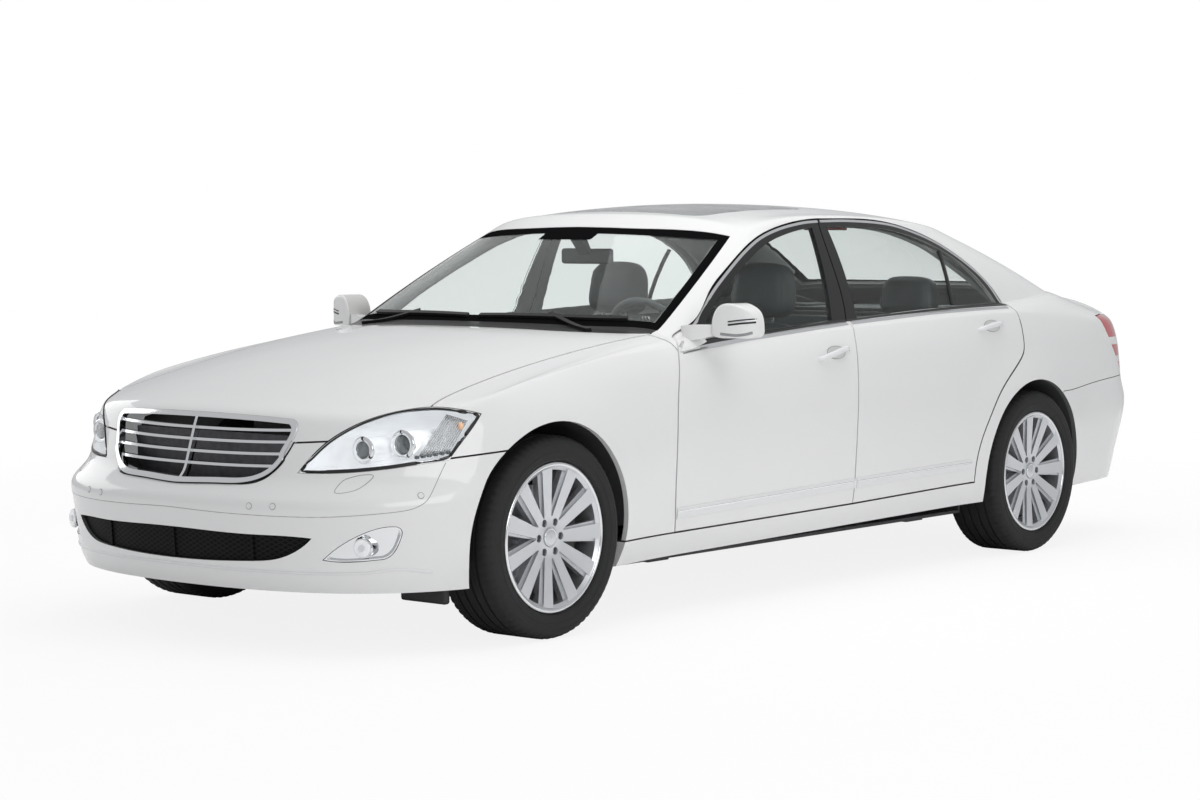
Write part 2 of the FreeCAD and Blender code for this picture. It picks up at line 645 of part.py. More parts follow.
front_door = door(front_door_block, front_door_line, front_glass_line, -300, 1100)
rear_door = door(rear_door_block, rear_door_line, rear_glass_line, -1500, -100).cut(arches[1])
front_plug_hole = block(front_door_line, from_side, plug_face - 60, 1000, -plug_inset + 14)
rear_plug_hole = block(rear_door_line, from_side, plug_face - 60, 1000, -plug_inset + 14)
sail_band_hole = layer(-4, 11.3)
sail_hole = through_door(sail_line, .6)
front_door = front_door.cut(sail_band_hole.common(sail_hole))
pane = layer(6, 11)
pane_fit = .3
front_glass = pane.common(through_door(front_glass_line, -pane_fit)).cut(sail_hole)
rear_glass = pane.common(through_door(rear_glass_line, -pane_fit))

# Body shell.
pillar_side = [
    side([(-75, 200), (-88, 700), (-150, 1000), (-180, 1300), (-160, 1425)]),
    side([(-160, 1425), (-290, 1425)]),
    side([(-290, 1425), (-262, 1300), (-235, 1000), (-165, 700), (-160, 200)]),
    side([(-160, 200), (-75, 200)])]
pillar_front = [
    front([(805, 150), (805, 900), (765, 1000), (612, 1380), (580, 1440)]),
    front([(580, 1440), (1000, 1440)]),
    front([(1000, 1440), (1000, 150)]),
    front([(1000, 150), (805, 150)])]
pillar = block(pillar_side, square_side, door_from, 1000).common(block(pillar_front, from_front, -400, 100))
sill = box(-1060, 1345, 790, 1000, 190, 345)
core = skin_shell.cut([pillar, sill])
body_half = skin.cut(core).cut([front_door_hole.cut(skin_behind), rear_door_hole.cut(skin_behind),
                                front_plug_hole, rear_plug_hole, hood_hole, bumper_hole, lamp_hole, lid_hole,
                                tail_lamp_hole, rear_hole] + arches)
body_half = body_half.cut(wing_side(gap / 2).common(wing_top(gap / 2)))
screen_hole = block(screen_line, from_screen, 500, 2600)
backlight_hole = block(backlight_line, from_backlight, 500, 2600)
roof_hole = through_roof()
body_half = body_half.cut([screen_hole, backlight_hole, roof_hole])
body_shell = whole(largest(body_half))
write("body_shell", body_shell)
write("front_door_left", front_door)
write("front_door_right", mirrored(front_door))
write("rear_door_left", rear_door)
write("rear_door_right", mirrored(rear_door))
write("front_door_glass_left", front_glass)
write("front_door_glass_right", mirrored(front_glass))
write("rear_door_glass_left", rear_glass)
write("rear_door_glass_right", mirrored(rear_glass))

# Bonded glass.
glass_band = layer(1.5, 6.5)
screen = whole(glass_band.common(block(screen_line, from_screen, screen_from, screen_to, -pane_fit)))
backlight = whole(glass_band.common(block(backlight_line, from_backlight, screen_from, screen_to, -pane_fit)))
write("bonded_glass", Part.makeCompound([screen, backlight]))
roof_pane = skin.cut(left_solid(8)).common(through_roof(-3))
roof_seal = layer(7, 14).common(through_roof(-seat_clear))
write("sunroof", whole(roof_pane.fuse(roof_seal)))

# Wheels. The tyre stands on the road and the rim carries the brake disc.
half_track = 800.0
tyre_radius = 343.0
tyre_half = 127.0
bead_radius = 241.5
rim_half = 115.0
barrel_radius = 241.2
barrel_inside = 228.0
hub_radius = 72.0
spoke_count = 11
spindle_radius = 30.0
bolt_circle = 56.0
disc_radius = 170.0


def turned(profile):
    """A ring turned about the wheel's own axle from (distance along the axle, radius) pairs."""
    points = [Vec(0, y, r) for y, r in profile]
    return Part.Face(Part.makePolygon(points + [points[0]])).revolve(Vec(0, 0, 0), Across, 360)


def smooth_turned(runs):
    """The same from straight and smooth runs."""
    edges = []
    for run in runs:
        points = [Vec(0, y, r) for y, r in run]
        if len(points) == 2:
            edges.append(Part.makeLine(*points))
        else:
            curve = Part.BSplineCurve()
            curve.interpolate(points)
            edges.append(curve.toShape())
    return Part.Face(Part.Wire(edges)).revolve(Vec(0, 0, 0), Across, 360)


bead = rim_half - 8.3
flange_radius = barrel_radius + 12
tyre_runs = [
    [(bead, flange_radius + .6), (tyre_half - 4, flange_radius + 9), (tyre_half, 290), (tyre_half - 4, 318)],
    [(tyre_half - 4, 318), (tyre_half - 14, 335), (tyre_half - 34, tyre_radius)]]
tyre_other = [[(-y, r) for y, r in reversed(run)] for run in reversed(tyre_runs)]
tyre = smooth_turned(
    tyre_runs + [[(tyre_half - 34, tyre_radius), (34 - tyre_half, tyre_radius)]] + tyre_other +
    [[(-bead, flange_radius + .6), (-bead, bead_radius)], [(-bead, bead_radius), (bead, bead_radius)],
     [(bead, bead_radius), (bead, flange_radius + .6)]])
flange_thick = 7.0
barrel = turned([
    (-rim_half, flange_radius), (-rim_half + flange_thick, flange_radius), (-rim_half + 7.7, barrel_radius),
    (rim_half - 7.7, barrel_radius), (rim_half - flange_thick, flange_radius), (rim_half, flange_radius),
    (rim_half, barrel_radius + 4), (rim_half - 12, barrel_inside), (-rim_half, barrel_inside)])
spoke_front = [(92, 36), (92, 66), (94, 84), (100, 140), (106, 190), (111, barrel_inside + 8)]
spoke_depth = 15.0
web_depth = 38.0
spoke_hub_half, spoke_rim_half = 16.0, 26.0
web_hub_half, web_rim_half = 20.0, 37.0
bolt_pocket = 13.0
cap_radius = 33.0


def dish(near, far):
    """The slice of the wheel's face between two depths behind the front of the spokes."""
    return smooth_turned([
        [(y - near, r) for y, r in spoke_front],
        [(spoke_front[-1][0] - near, spoke_front[-1][1]), (spoke_front[-1][0] - far, spoke_front[-1][1])],
        [(y - far, r) for y, r in reversed(spoke_front)],
        [(spoke_front[0][0] - far, spoke_front[0][1]), (spoke_front[0][0] - near, spoke_front[0][1])]])


def star(hub_half, rim_half_width):
    """A hub disc with tapered bars out to the rim, seen along the axle."""
    corners = [Vec(-hub_half, 0, 40), Vec(hub_half, 0, 40), Vec(rim_half_width, 0, barrel_radius + 1),
               Vec(-rim_half_width, 0, barrel_radius + 1)]
    bars = []
    for i in range(spoke_count):
        bar = Part.Face(Part.makePolygon(corners + corners[:1])).extrude(Vec(0, 150, 0))
        bar.rotate(Vec(0, 0, 0), Across, first_spoke + 360 * i / spoke_count)
        bars.append(bar)
    return rod(hub_radius, (0, 0, 0), (0, 150, 0)).fuse(bars)


first_spoke = 107.0
wheel_face = dish(0, spoke_depth).common(star(spoke_hub_half, spoke_rim_half)).fuse(
    dish(spoke_depth - .5, web_depth).common(star(web_hub_half, web_rim_half)))
cap = turned([(70, 0), (70, cap_radius + 4), (90, cap_radius + 4), (90, cap_radius), (95, cap_radius - 2),
              (98, cap_radius - 12), (99, 0)])
hub = rod(60, (0, -10, 0), (0, 62, 0)).fuse(rod(spindle_radius + 8, (0, 50, 0), (0, 72, 0)))
disc = rod(disc_radius, (0, -25, 0), (0, -3, 0)).cut(rod(90, (0, -40, 0), (0, -12, 0)))
rim = barrel.fuse([wheel_face, cap, hub, disc])
pockets = []
for i in range(6):
    a = math.radians(60 * i + 30)
    x, z = bolt_circle * math.sin(a), bolt_circle * math.cos(a)
    pockets.append(rod(bolt_pocket, (x, 66, z), (x, 120, z)))
rim = rim.cut(pockets + [rod(spindle_radius + .05, (0, -60, 0), (0, 68.2, 0))])


def placed(shape, x, y, z):
    moved = shape.copy()
    moved.translate(Vec(x, y, z))
    return moved


for label, axle in (("front", front_axle_x), ("rear", rear_axle_x)):
    for name, shape in (("tyre", tyre), ("rim", rim)):
        left = placed(shape, axle, half_track, wheel_z)
        write(name + "_" + label + "_left", left)
        write(name + "_" + label + "_right", mirrored(left))

# Steering knuckles with the spindle and the brake caliper.
king_y = 735.0
king_low, king_high = 196.0, 498.0
pin_radius = 9.0
pin_gap = .08
caliper = turned([(-55, 112), (-55, 196), (40, 196), (40, 112)]).common(
    Part.Face(Part.makePolygon([Vec(0, -100, 0), Vec(300, -100, 140), Vec(300, -100, -140),
                                Vec(0, -100, 0)])).extrude(Vec(0, 200, 0)))
caliper = caliper.cut(turned([(-32, 100), (-32, disc_radius + 7), (4, disc_radius + 7), (4, 100)]))
caliper.rotate(Vec(0, 0, 0), Across, 180)
knuckle = box(-22, 22, -85, -50, king_low - wheel_z, king_high - wheel_z).fuse([
    rod(spindle_radius, (0, -60, 0), (0, 68, 0)), rod(48, (0, -80, 0), (0, -42, 0)), caliper,
    box(-190, 0, -75, -50, -22, 22)])
king = king_y - half_track
pin_bore = pin_radius + pin_gap
bore_deep = 26.0
low, high = king_low - wheel_z, king_high - wheel_z
knuckle = knuckle.cut([rod(pin_bore, (0, king, low - 1), (0, king, low + bore_deep)),
                       rod(pin_bore, (0, king, high - bore_deep), (0, king, high + 1))])
knuckle_left = placed(knuckle, front_axle_x, half_track, wheel_z)
write("knuckle_left", knuckle_left)
write("knuckle_right", mirrored(knuckle_left))

# Suspension: front cross member, arms, pins and struts; rear hub carriers, arms and cross member.
rear_carrier = placed(rod(spindle_radius, (0, -60, 0), (0, 68, 0)).fuse([
    rod(48, (0, -80, 0), (0, -42, 0)), caliper, box(-190, 0, -75, -50, -22, 22),
    box(-22, 22, -110, -60, -150, 120)]), rear_axle_x, half_track, wheel_z)
pan_under = 330.0
seat_gap = .3
arm_root = 5.0
front_house_radius = 402.0
rear_house_radius = arch_radius + 8
house_inside_y = 470.0
rear_house_inside_y = 648.0
strut_top = wheel_z + front_house_radius - 4
susp = [
    rod(14, (front_axle_x, 400, 205), (front_axle_x, king_y, king_low - 16)),
    rod(pin_radius, (front_axle_x, king_y, king_low - 16), (front_axle_x, king_y, king_low + 22)),
    rod(20, (front_axle_x, king_y, king_low - 26), (front_axle_x, king_y, king_low - 6)),
    rod(12, (front_axle_x, house_inside_y + arm_root, 540), (front_axle_x, king_y, king_high + 18)),
    box(front_axle_x - 35, front_axle_x + 35, house_inside_y + seat_gap, house_inside_y + 22, 512, 566),
    rod(pin_radius, (front_axle_x, king_y, king_high - 22), (front_axle_x, king_y, king_high + 18)),
    rod(20, (front_axle_x, king_y, king_high + 6), (front_axle_x, king_y, king_high + 28)),
    rod(12, (front_axle_x - 200, 400, 205), (front_axle_x, 600, 200)),
    rod(24, (front_axle_x, 590, 200), (front_axle_x, 556, 560)),
    rod(44, (front_axle_x, 572, 390), (front_axle_x, 545, strut_top)),
    box(front_axle_x - 40, front_axle_x + 40, -5, 440, 188, 222),
    box(front_axle_x - 230, front_axle_x + 40, 385, 440, 188, 222),
    box(front_axle_x - 230, front_axle_x + 40, 385, 440, 222, 300),
    rear_carrier,
    rod(14, (rear_axle_x, 380, 225), (rear_axle_x, 700, 215)),
    rod(14, (rear_axle_x, rear_house_inside_y + arm_root, 434), (rear_axle_x, 700, 440)),
    box(rear_axle_x - 30, rear_axle_x + 30, rear_house_inside_y + seat_gap, rear_house_inside_y + 20,
        408, 462),
    rod(14, (rear_axle_x + 260, 420, 240), (rear_axle_x, 700, 240)),
    rod(40, (rear_axle_x + 90, 560, 225), (rear_axle_x + 90, 560, pan_under - seat_gap)),
    rod(18, (rear_axle_x, 560, 225), (rear_axle_x + 90, 560, 235)),
    box(rear_axle_x - 60, rear_axle_x + 60, -5, 420, 205, 262),
    box(rear_axle_x - 60, rear_axle_x + 300, 360, 420, 205, pan_under - seat_gap),
    rod(60, (rear_axle_x, 380, 240), (rear_axle_x, 380, pan_under - seat_gap)),
]
susp_half = susp[0].fuse(susp[1:])
write("suspension", whole(susp_half))

# Floor, tunnel, bulkheads, rails and wheel houses: three welded groups, for the nose, the cabin and the boot.
floor_z = 190.0
sheet = 12.0
floor_top = floor_z + sheet
tunnel_half = 130.0
tunnel_top = 330.0
boot_floor_top = pan_under + 15
floor_front_x, floor_rear_x = 1080.0, -1062.0
floor_half = 790.0
shelf_top = 1010.0
rear_wall_x = -1270.0
rail_low_y, rail_high_y = 385.0, 445.0
lift_pad = 8.0
part_line = .3


def wheel_house(axle, radius, inside):
    outer = rod(radius + 5, (axle, inside - 5, wheel_z), (axle, 960, wheel_z))
    inner = rod(radius, (axle, inside, wheel_z), (axle, 980, wheel_z))
    return outer.cut(inner).common(box(axle - 600, axle + 600, 0, 1000, 265, 900)).common(inside_skin)


inside_skin = left_solid(shell_thick + .3)
sill_space = box(floor_rear_x, 1346, floor_half - part_line, 1000, floor_z, 346)
house_front = wheel_house(front_axle_x, front_house_radius, house_inside_y).cut(sill_space)
house_rear = wheel_house(rear_axle_x, rear_house_radius, rear_house_inside_y).cut(sill_space)
clear_front = rod(front_house_radius, (front_axle_x, house_inside_y, wheel_z), (front_axle_x, 1000, wheel_z))
clear_rear = rod(rear_house_radius, (rear_axle_x, rear_house_inside_y, wheel_z), (rear_axle_x, 1000, wheel_z))
cross_member_x = 2350.0
nose_group = [
    box(floor_front_x, floor_front_x + sheet, -5, 700, floor_z, 985),
    box(floor_front_x, 2440, rail_low_y, rail_high_y, pan_under, 440),
    box(floor_front_x, 1290, rail_low_y, rail_high_y, floor_z, 440),
    box(floor_front_x, 1290, -5, floor_half, floor_z, floor_top),
    box(cross_member_x, cross_member_x + 50, -5, rail_high_y, pan_under, 380),
    box(front_axle_x - 230, front_axle_x + 40, rail_low_y, rail_high_y, 300, 340),
    box(front_axle_x - 200, front_axle_x + 200, 440, house_inside_y + 5, 420, 440),
]
cabin_group = [
    box(floor_rear_x, floor_front_x - part_line, -5, floor_half, floor_z, floor_top),
    box(floor_rear_x, floor_front_x - part_line, tunnel_half - sheet, tunnel_half, floor_z, tunnel_top),
    box(floor_rear_x, floor_front_x - part_line, -5, tunnel_half, tunnel_top - sheet, tunnel_top),
]
for x in (950, -750):
    cabin_group.append(box(x - 60, x + 60, 705, 775, floor_z - lift_pad, floor_z))
rear_seam_x = floor_rear_x - part_line
boot_group = [
    box(rear_seam_x - sheet, rear_seam_x, tunnel_half, floor_half, floor_z, boot_floor_top),
    box(-2480, rear_seam_x, -5, 655, pan_under, boot_floor_top),
    box(rear_wall_x - sheet, rear_wall_x, -5, 655, pan_under, shelf_top),
    box(-1960, rear_wall_x, -5, 640, shelf_top - sheet, shelf_top),
    box(-2480, -2470, -5, 655, boot_floor_top, 640),
]
tunnel_way = box(floor_rear_x - 1, floor_front_x + sheet + 1, -10, tunnel_half - sheet,
                 floor_z - 20, tunnel_top - sheet)
underbody_groups = []
for group, house in ((nose_group, house_front), (cabin_group, None), (boot_group, house_rear)):
    sheets = [piece.common(inside_skin) for piece in group]
    if house:
        sheets.append(house)
    half = sheets[0].fuse(sheets[1:]).cut([clear_front, clear_rear, tunnel_way])
    underbody_groups += whole(largest(half)).Solids
underbody = Part.makeCompound(underbody_groups)
write("underbody", underbody)

# Engine block and radiator.
engine = box(1380, 1980, -230, 230, 330, 800).fuse([box(1150, 1380, -115, 115, 345, 520),
                                                    box(1480, 1560, -384.7, 384.7, 340, 400)])
write("engine", engine)
write("radiator", box(cross_member_x + 5, cross_member_x + 35, -380, 380, 380.3, 700))

# Cabin.
dash_front_x = floor_front_x - part_line
dash_line = [
    side([(dash_front_x, 560), (dash_front_x, 962)]),
    side([(dash_front_x, 962), (1010, 985), (920, 990), (820, 972), (765, 940)]),
    side([(765, 940), (742, 880), (770, 800), (860, 700), (880, 560)]),
    side([(880, 560), (dash_front_x, 560)])]
dashboard = block(dash_line, square_side, -700, 700).common(whole(left_solid(shell_thick + 12)))
console = box(-60, 900, -115, 115, 330.3, 560).cut(box(60, 620, -200, 200, 480, 700))
column_tilt = 24.0
wheel_hub = Vec(480, 370, 932)
column_axis = Vec(-math.cos(math.radians(column_tilt)), 0, math.sin(math.radians(column_tilt)))
ring_radius = 184.0
ring = Part.makeTorus(ring_radius, 15, wheel_hub, column_axis)
boss = Part.makeCylinder(72, 40, wheel_hub - column_axis * 30, column_axis)
arms = []
cross = column_axis.cross(Across)
for end in (Across * ring_radius, Across * -ring_radius, cross * ring_radius, cross * -ring_radius):
    if end.z > 60:
        continue
    arms.append(rod(13, tuple(wheel_hub - column_axis * 4), tuple(wheel_hub + end)))
shaft_radius = 14.0
shaft_gap = .3
column_shaft = Part.makeCylinder(shaft_radius, 200, wheel_hub - column_axis * 220, column_axis)
write("steering_wheel", ring.fuse([boss, column_shaft] + arms))
shroud = Part.makeCylinder(46, 290, wheel_hub - column_axis * 360, column_axis)
shroud_bore = Part.makeCylinder(shaft_radius + shaft_gap, 300, wheel_hub - column_axis * 300, column_axis)
write("dashboard", dashboard.fuse([console, shroud]).cut(shroud_bore))


def pad(x0, x1, y0, y1, z0, z1, round_, tilt=0.0, about=(0, 0)):
    piece = box(x0, x1, y0, y1, z0, z1)
    piece = piece.makeFillet(round_, piece.Edges)
    piece.rotate(Vec(about[0], 0, about[1]), Across, tilt)
    return piece


def front_seat(y):
    cushion = pad(-40, 540, y - 240, y + 240, 330, 480, 45, -6, (280, 400))
    back = pad(-110, 40, y - 250, y + 250, 390, 1010, 50, -17, (-30, 420))
    rest = pad(-310, -190, y - 135, y + 135, 1035, 1225, 45, -6, (-250, 1100))
    stalks = [rod(7, (-205, y + s, 940), (-245, y + s, 1100)) for s in (-60, 60)]
    base = box(80, 460, y - 210, y + 210, floor_top, 360)
    return cushion.fuse([back, rest, base] + stalks)


write("front_seats", both(front_seat(375)))
bench = pad(-1060, -470, -690, 690, boot_floor_top + seat_gap, 480, 45)
tunnel_clear = box(-1100, -500, -tunnel_half - 1, tunnel_half + 1, 0, tunnel_top + seat_gap)
bench_foot = box(-1055, -560, -600, 600, floor_top, 400).cut(tunnel_clear)
bench_back = pad(-1240, -1060, -630, 630, 400, 1010, 55, -12, (-1090, 420)).cut(
    box(-1500, rear_wall_x + part_line, -800, 800, 300, 1200))
rests = [pad(-1330, -1230, y - 130, y + 130, 990, 1150, 42).cut(box(-1400, -1200, -800, 800, 900, 1010.3))
         for y in (-400, 400)]
seat_rear = bench.fuse([bench_foot, bench_back])
write("rear_seat", seat_rear.fuse(rests))

# Door mirrors: a rounded housing on a foot that grows out of the sail in the window's front corner.
housing_front = [
    front([(905, 1010), (910, 1060), (935, 1098), (965, 1108), (1010, 1098), (1044, 1076), (1058, 1040),
           (1060, 1002)]),
    front([(1060, 1002), (1048, 988), (1000, 983), (930, 985), (910, 992), (905, 1010)])]
housing_plan = [
    plan([(700, 1072), (735, 1062), (775, 1030), (805, 970), (815, 900)]),
    plan([(815, 900), (690, 900)]), plan([(690, 900), (700, 1072)])]
housing_round = 10.0
housing = block(housing_front, from_front, 600, 900).common(block(housing_plan, from_above, 900, 1200))
round_edges = [e for e in housing.Edges if e.BoundBox.XMin > 698 and e.Length > 60]
housing = housing.makeFillet(housing_round, round_edges)
foot_line = [front([(800, 962), (905, 988), (960, 1000)]), front([(960, 1000), (955, 1022)]),
             front([(955, 1022), (905, 1030), (800, 1025)]), front([(800, 1025), (800, 962)])]
foot_plan = [plan([(850, 790), (838, 860), (800, 915), (775, 965)]), plan([(775, 965), (735, 960)]),
             plan([(735, 960), (760, 890), (790, 850), (800, 790)]), plan([(800, 790), (850, 790)])]
foot = block(foot_line, from_front, 650, 950).common(block(foot_plan, from_above, 900, 1200))
foot = foot.cut(left_solid(-insert_fit))
sail = layer(-2.5, 11).common(through_door(sail_line))
mirror_left = housing.fuse([foot, sail]).removeSplitter()
write("mirror_left", largest(mirror_left))
write("mirror_right", mirrored(largest(mirror_left)))

# Cabin mirror on its foot behind the windscreen's top edge.
mirror_glass = pad(395, 425, -125, 125, 1235, 1295, 12)
foot_half = block([side([(405, 1262), (418, 1262)]), side([(418, 1262), (545, 1400)]),
                   side([(545, 1400), (486, 1400)]), side([(486, 1400), (405, 1262)])], square_side, 0, 28)
write("cabin_mirror", whole(foot_half.common(left_solid(6.8))).fuse(mirror_glass))

# Wipers: a blade and an arm each side, parked along the foot of the windscreen.
wiper_band = layer(-11, -.3)
blade_line = [
    [(1062, 30, 1050), (1046, 200, 1055), (1010, 380, 1052), (960, 540, 1048), (925, 620, 1046)],
    [(925, 620, 1046), (940, 628, 1040)],
    [(940, 628, 1040), (976, 548, 1040), (1026, 386, 1044), (1062, 204, 1047), (1078, 30, 1042)],
    [(1078, 30, 1042), (1062, 30, 1050)]]
arm_line = [
    [(1018, 320, 1053), (1100, 560, 1018)], [(1100, 560, 1018), (1086, 572, 1020)],
    [(1086, 572, 1020), (1004, 330, 1056)], [(1004, 330, 1056), (1018, 320, 1053)]]
wiper = wiper_band.common(block(blade_line, from_screen, screen_from, 1500)).fuse(
    wiper_band.common(block(arm_line, from_screen, screen_from, 1500)))
write("wipers", both(wiper))

# Exhaust: two pipes in the tunnel, over the rear cross member, to a silencer and a tail pipe on each side.
pipe_radius = 28.0
pipe_way = [(1000, 62, 250), (-1150, 62, 250), (-1380, 80, 296), (-1560, 110, 296), (-1880, 380, 240)]
silencer = (-2150, -1850, 200, 560, 160, 300)
hanger_radius = 7.0


def bent_pipe(points, radius):
    pieces = [rod(radius, a, b) for a, b in zip(points, points[1:])]
    return pieces + [Part.makeSphere(radius, Vec(*p)) for p in points[1:-1]]


tail_pipe = rod(30, (-2100, 470, 226), (-2490, 515, 220)).cut(rod(26, (-2440, 509, 221), (-2500, 516, 220)))
exhaust_pieces = bent_pipe(pipe_way, pipe_radius) + [
    pad(*silencer, 45),
    tail_pipe,
    rod(hanger_radius, (-2000, 380, 290), (-2000, 380, pan_under - seat_gap)),
    rod(hanger_radius, (0, 62, 270), (0, 62, tunnel_top - sheet - seat_gap))]
exhaust_half = exhaust_pieces[0].fuse(exhaust_pieces[1:])
write("exhaust", both(exhaust_half))
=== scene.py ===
import math

import bmesh
import bpy
from mathutils import Matrix, Vector
from mathutils.bvhtree import BVHTree


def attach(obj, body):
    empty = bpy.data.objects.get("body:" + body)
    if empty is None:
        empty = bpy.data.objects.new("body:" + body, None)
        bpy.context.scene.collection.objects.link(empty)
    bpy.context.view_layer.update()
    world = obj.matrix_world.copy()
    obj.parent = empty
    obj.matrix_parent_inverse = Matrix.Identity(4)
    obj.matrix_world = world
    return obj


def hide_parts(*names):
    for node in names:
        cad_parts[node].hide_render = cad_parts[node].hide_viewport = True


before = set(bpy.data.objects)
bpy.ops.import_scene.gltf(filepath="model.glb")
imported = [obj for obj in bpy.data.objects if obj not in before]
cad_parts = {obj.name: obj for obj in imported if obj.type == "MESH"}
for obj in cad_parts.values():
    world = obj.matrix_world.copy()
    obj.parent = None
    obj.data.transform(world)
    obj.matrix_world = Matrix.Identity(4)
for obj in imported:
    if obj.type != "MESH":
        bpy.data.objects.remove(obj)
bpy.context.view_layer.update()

# The camera of the photograph: ahead of the car and to its left, at chest height, with a long lens.
# It looks a little downwards, at the middle of the car's left side.
camera_place = Vector((8.520, 6.680, 1.381))
camera_heading = math.radians(-140.79)
camera_dip = math.radians(-3.69)
photo_camera = bpy.data.objects.new("photo_camera", bpy.data.cameras.new("photo_camera"))
photo_camera.data.sensor_width = 36.0
photo_camera.data.lens = 80.55
photo_camera.data.clip_end = 200.0
photo_camera.location = camera_place
line_of_sight = Vector((math.cos(camera_dip) * math.cos(camera_heading),
                        math.cos(camera_dip) * math.sin(camera_heading),
                        math.sin(camera_dip)))
photo_camera.rotation_euler = line_of_sight.to_track_quat("-Z", "Y").to_euler()
bpy.context.scene.collection.objects.link(photo_camera)
bpy.context.scene.camera = photo_camera


# The studio: a white floor without an end, one broad soft box over the car and two beside it.
# Shader values are written as sums, and every finish adds its nodes through one method.
class Flow:
    """A value on its way from one shader node to the next. Sums on it add Math nodes."""

    def __init__(self, tree, socket):
        self.tree = tree
        self.socket = socket

    def math(self, operation, *values):
        node = self.tree.nodes.new("ShaderNodeMath")
        node.operation = operation
        for socket, value in zip(node.inputs, values):
            connect(self.tree, socket, value)
        return Flow(self.tree, node.outputs[0])

    def __add__(self, other):
        return self.math("ADD", self, other)

    def __radd__(self, other):
        return self.math("ADD", other, self)

    def __sub__(self, other):
        return self.math("SUBTRACT", self, other)

    def __rsub__(self, other):
        return self.math("SUBTRACT", other, self)

    def __mul__(self, other):
        return self.math("MULTIPLY", self, other)

    def __rmul__(self, other):
        return self.math("MULTIPLY", other, self)

    def __truediv__(self, other):
        return self.math("DIVIDE", self, other)

    def __gt__(self, other):
        return self.math("GREATER_THAN", self, other)

    def __lt__(self, other):
        return self.math("LESS_THAN", self, other)

    def __mod__(self, other):
        return self.math("FLOORED_MODULO", self, other)

    def __abs__(self):
        return self.math("ABSOLUTE", self)


def connect(tree, socket, value):
    if isinstance(value, Flow):
        tree.links.new(value.socket, socket)
    else:
        socket.default_value = value


class Finish:
    """One finish: a material with a Principled shader, to which nodes are added by their type.

    drift is two base colours with a grain's scale and detail, polish a roughness with a grain's scale and
    its share, and relief a grain's scale and detail with its depth in metres.
    """

    def __init__(self, name, drift=None, polish=None, relief=None, **constants):
        self.material = bpy.data.materials.new(name)
        self.material.use_nodes = True
        self.tree = self.material.node_tree
        self.shader = self.tree.nodes["Principled BSDF"]
        self.wear(**constants)
        if drift:
            low, high, *grain = drift
            self.wear(Base_Color=self.blend(self.grain(*grain), low + (1,), high + (1,)))
        if polish:
            self.wear(Roughness=polish[0] + self.grain(polish[1]) * polish[2])
        if relief:
            self.relief(self.grain(*relief[:2]), relief[2])

    def node(self, kind, settings, sockets, out=0):
        node = self.tree.nodes.new("ShaderNode" + kind)
        for name, value in settings.items():
            setattr(node, name, value)
        for name, value in sockets.items():
            connect(self.tree, node.inputs[name], value)
        return Flow(self.tree, node.outputs[out])

    def wear(self, **sockets):
        """Sets or links sockets of the shader; Base_Color stands for Base Color."""
        for name, value in sockets.items():
            connect(self.tree, self.shader.inputs[name.replace("_", " ")], value)

    def place(self):
        """The point on the piece, in metres along the car, to its left and up."""
        return self.node("TexCoord", {}, {}, "Object")

    def along(self, vector):
        apart = self.node("SeparateXYZ", {}, {0: vector}).socket.node
        return [Flow(self.tree, apart.outputs[i]) for i in range(3)]

    def grain(self, scale, detail=2.0, rough=.5):
        return self.node("TexNoise", {}, {"Vector": self.place(), "Scale": scale, "Detail": detail,
                                          "Roughness": rough}, "Fac")

    def blend(self, mask, low, high):
        return self.node("Mix", {"data_type": "RGBA"}, {0: mask, 6: low, 7: high}, 2)

    def relief(self, height, depth):
        self.wear(Normal=self.node("Bump", {}, {"Height": height, "Distance": depth, "Strength": 1.0}))

    def shaded(self):
        return Flow(self.tree, self.shader.outputs[0])

    def output(self, shader):
        self.tree.links.new(shader.socket, self.tree.nodes["Material Output"].inputs["Surface"])


studio_white = (.94, .94, .94, 1)
camera_white = (1, 1, 1, 1)
floor_finish = Finish("studio_floor", Roughness=.9)
floor_finish.wear(Base_Color=floor_finish.blend(floor_finish.grain(.6), studio_white, (.925, .925, .925, 1)))
seen = floor_finish.node("LightPath", {}, {}, "Is Camera Ray")
glass_ray = floor_finish.node("LightPath", {}, {}, "Is Transmission Ray")
backdrop_light = floor_finish.node("Emission", {}, {"Color": camera_white, "Strength": 1.0})
away = floor_finish.node("VectorMath", {"operation": "LENGTH"}, {0: floor_finish.place()}, "Value")
near_share = .86
shadow_free = near_share + (1 - near_share) * ((away - 3.4) / 3.0).math("MAXIMUM", (away - 3.4) / 3.0, 0)
floor_mix = floor_finish.node("MixShader", {}, {
    0: (seen + glass_ray) * shadow_free.math("MINIMUM", shadow_free, 1.0),
    1: floor_finish.shaded(), 2: backdrop_light})
floor_finish.output(floor_mix)
floor_mesh = bpy.data.meshes.new("studio_floor")
floor_shape = bmesh.new()
bmesh.ops.create_circle(floor_shape, cap_ends=True, segments=64, radius=90.0)
floor_shape.to_mesh(floor_mesh)
studio_floor = bpy.data.objects.new("studio_floor", floor_mesh)
studio_floor.data.materials.append(floor_finish.material)
bpy.context.scene.collection.objects.link(studio_floor)

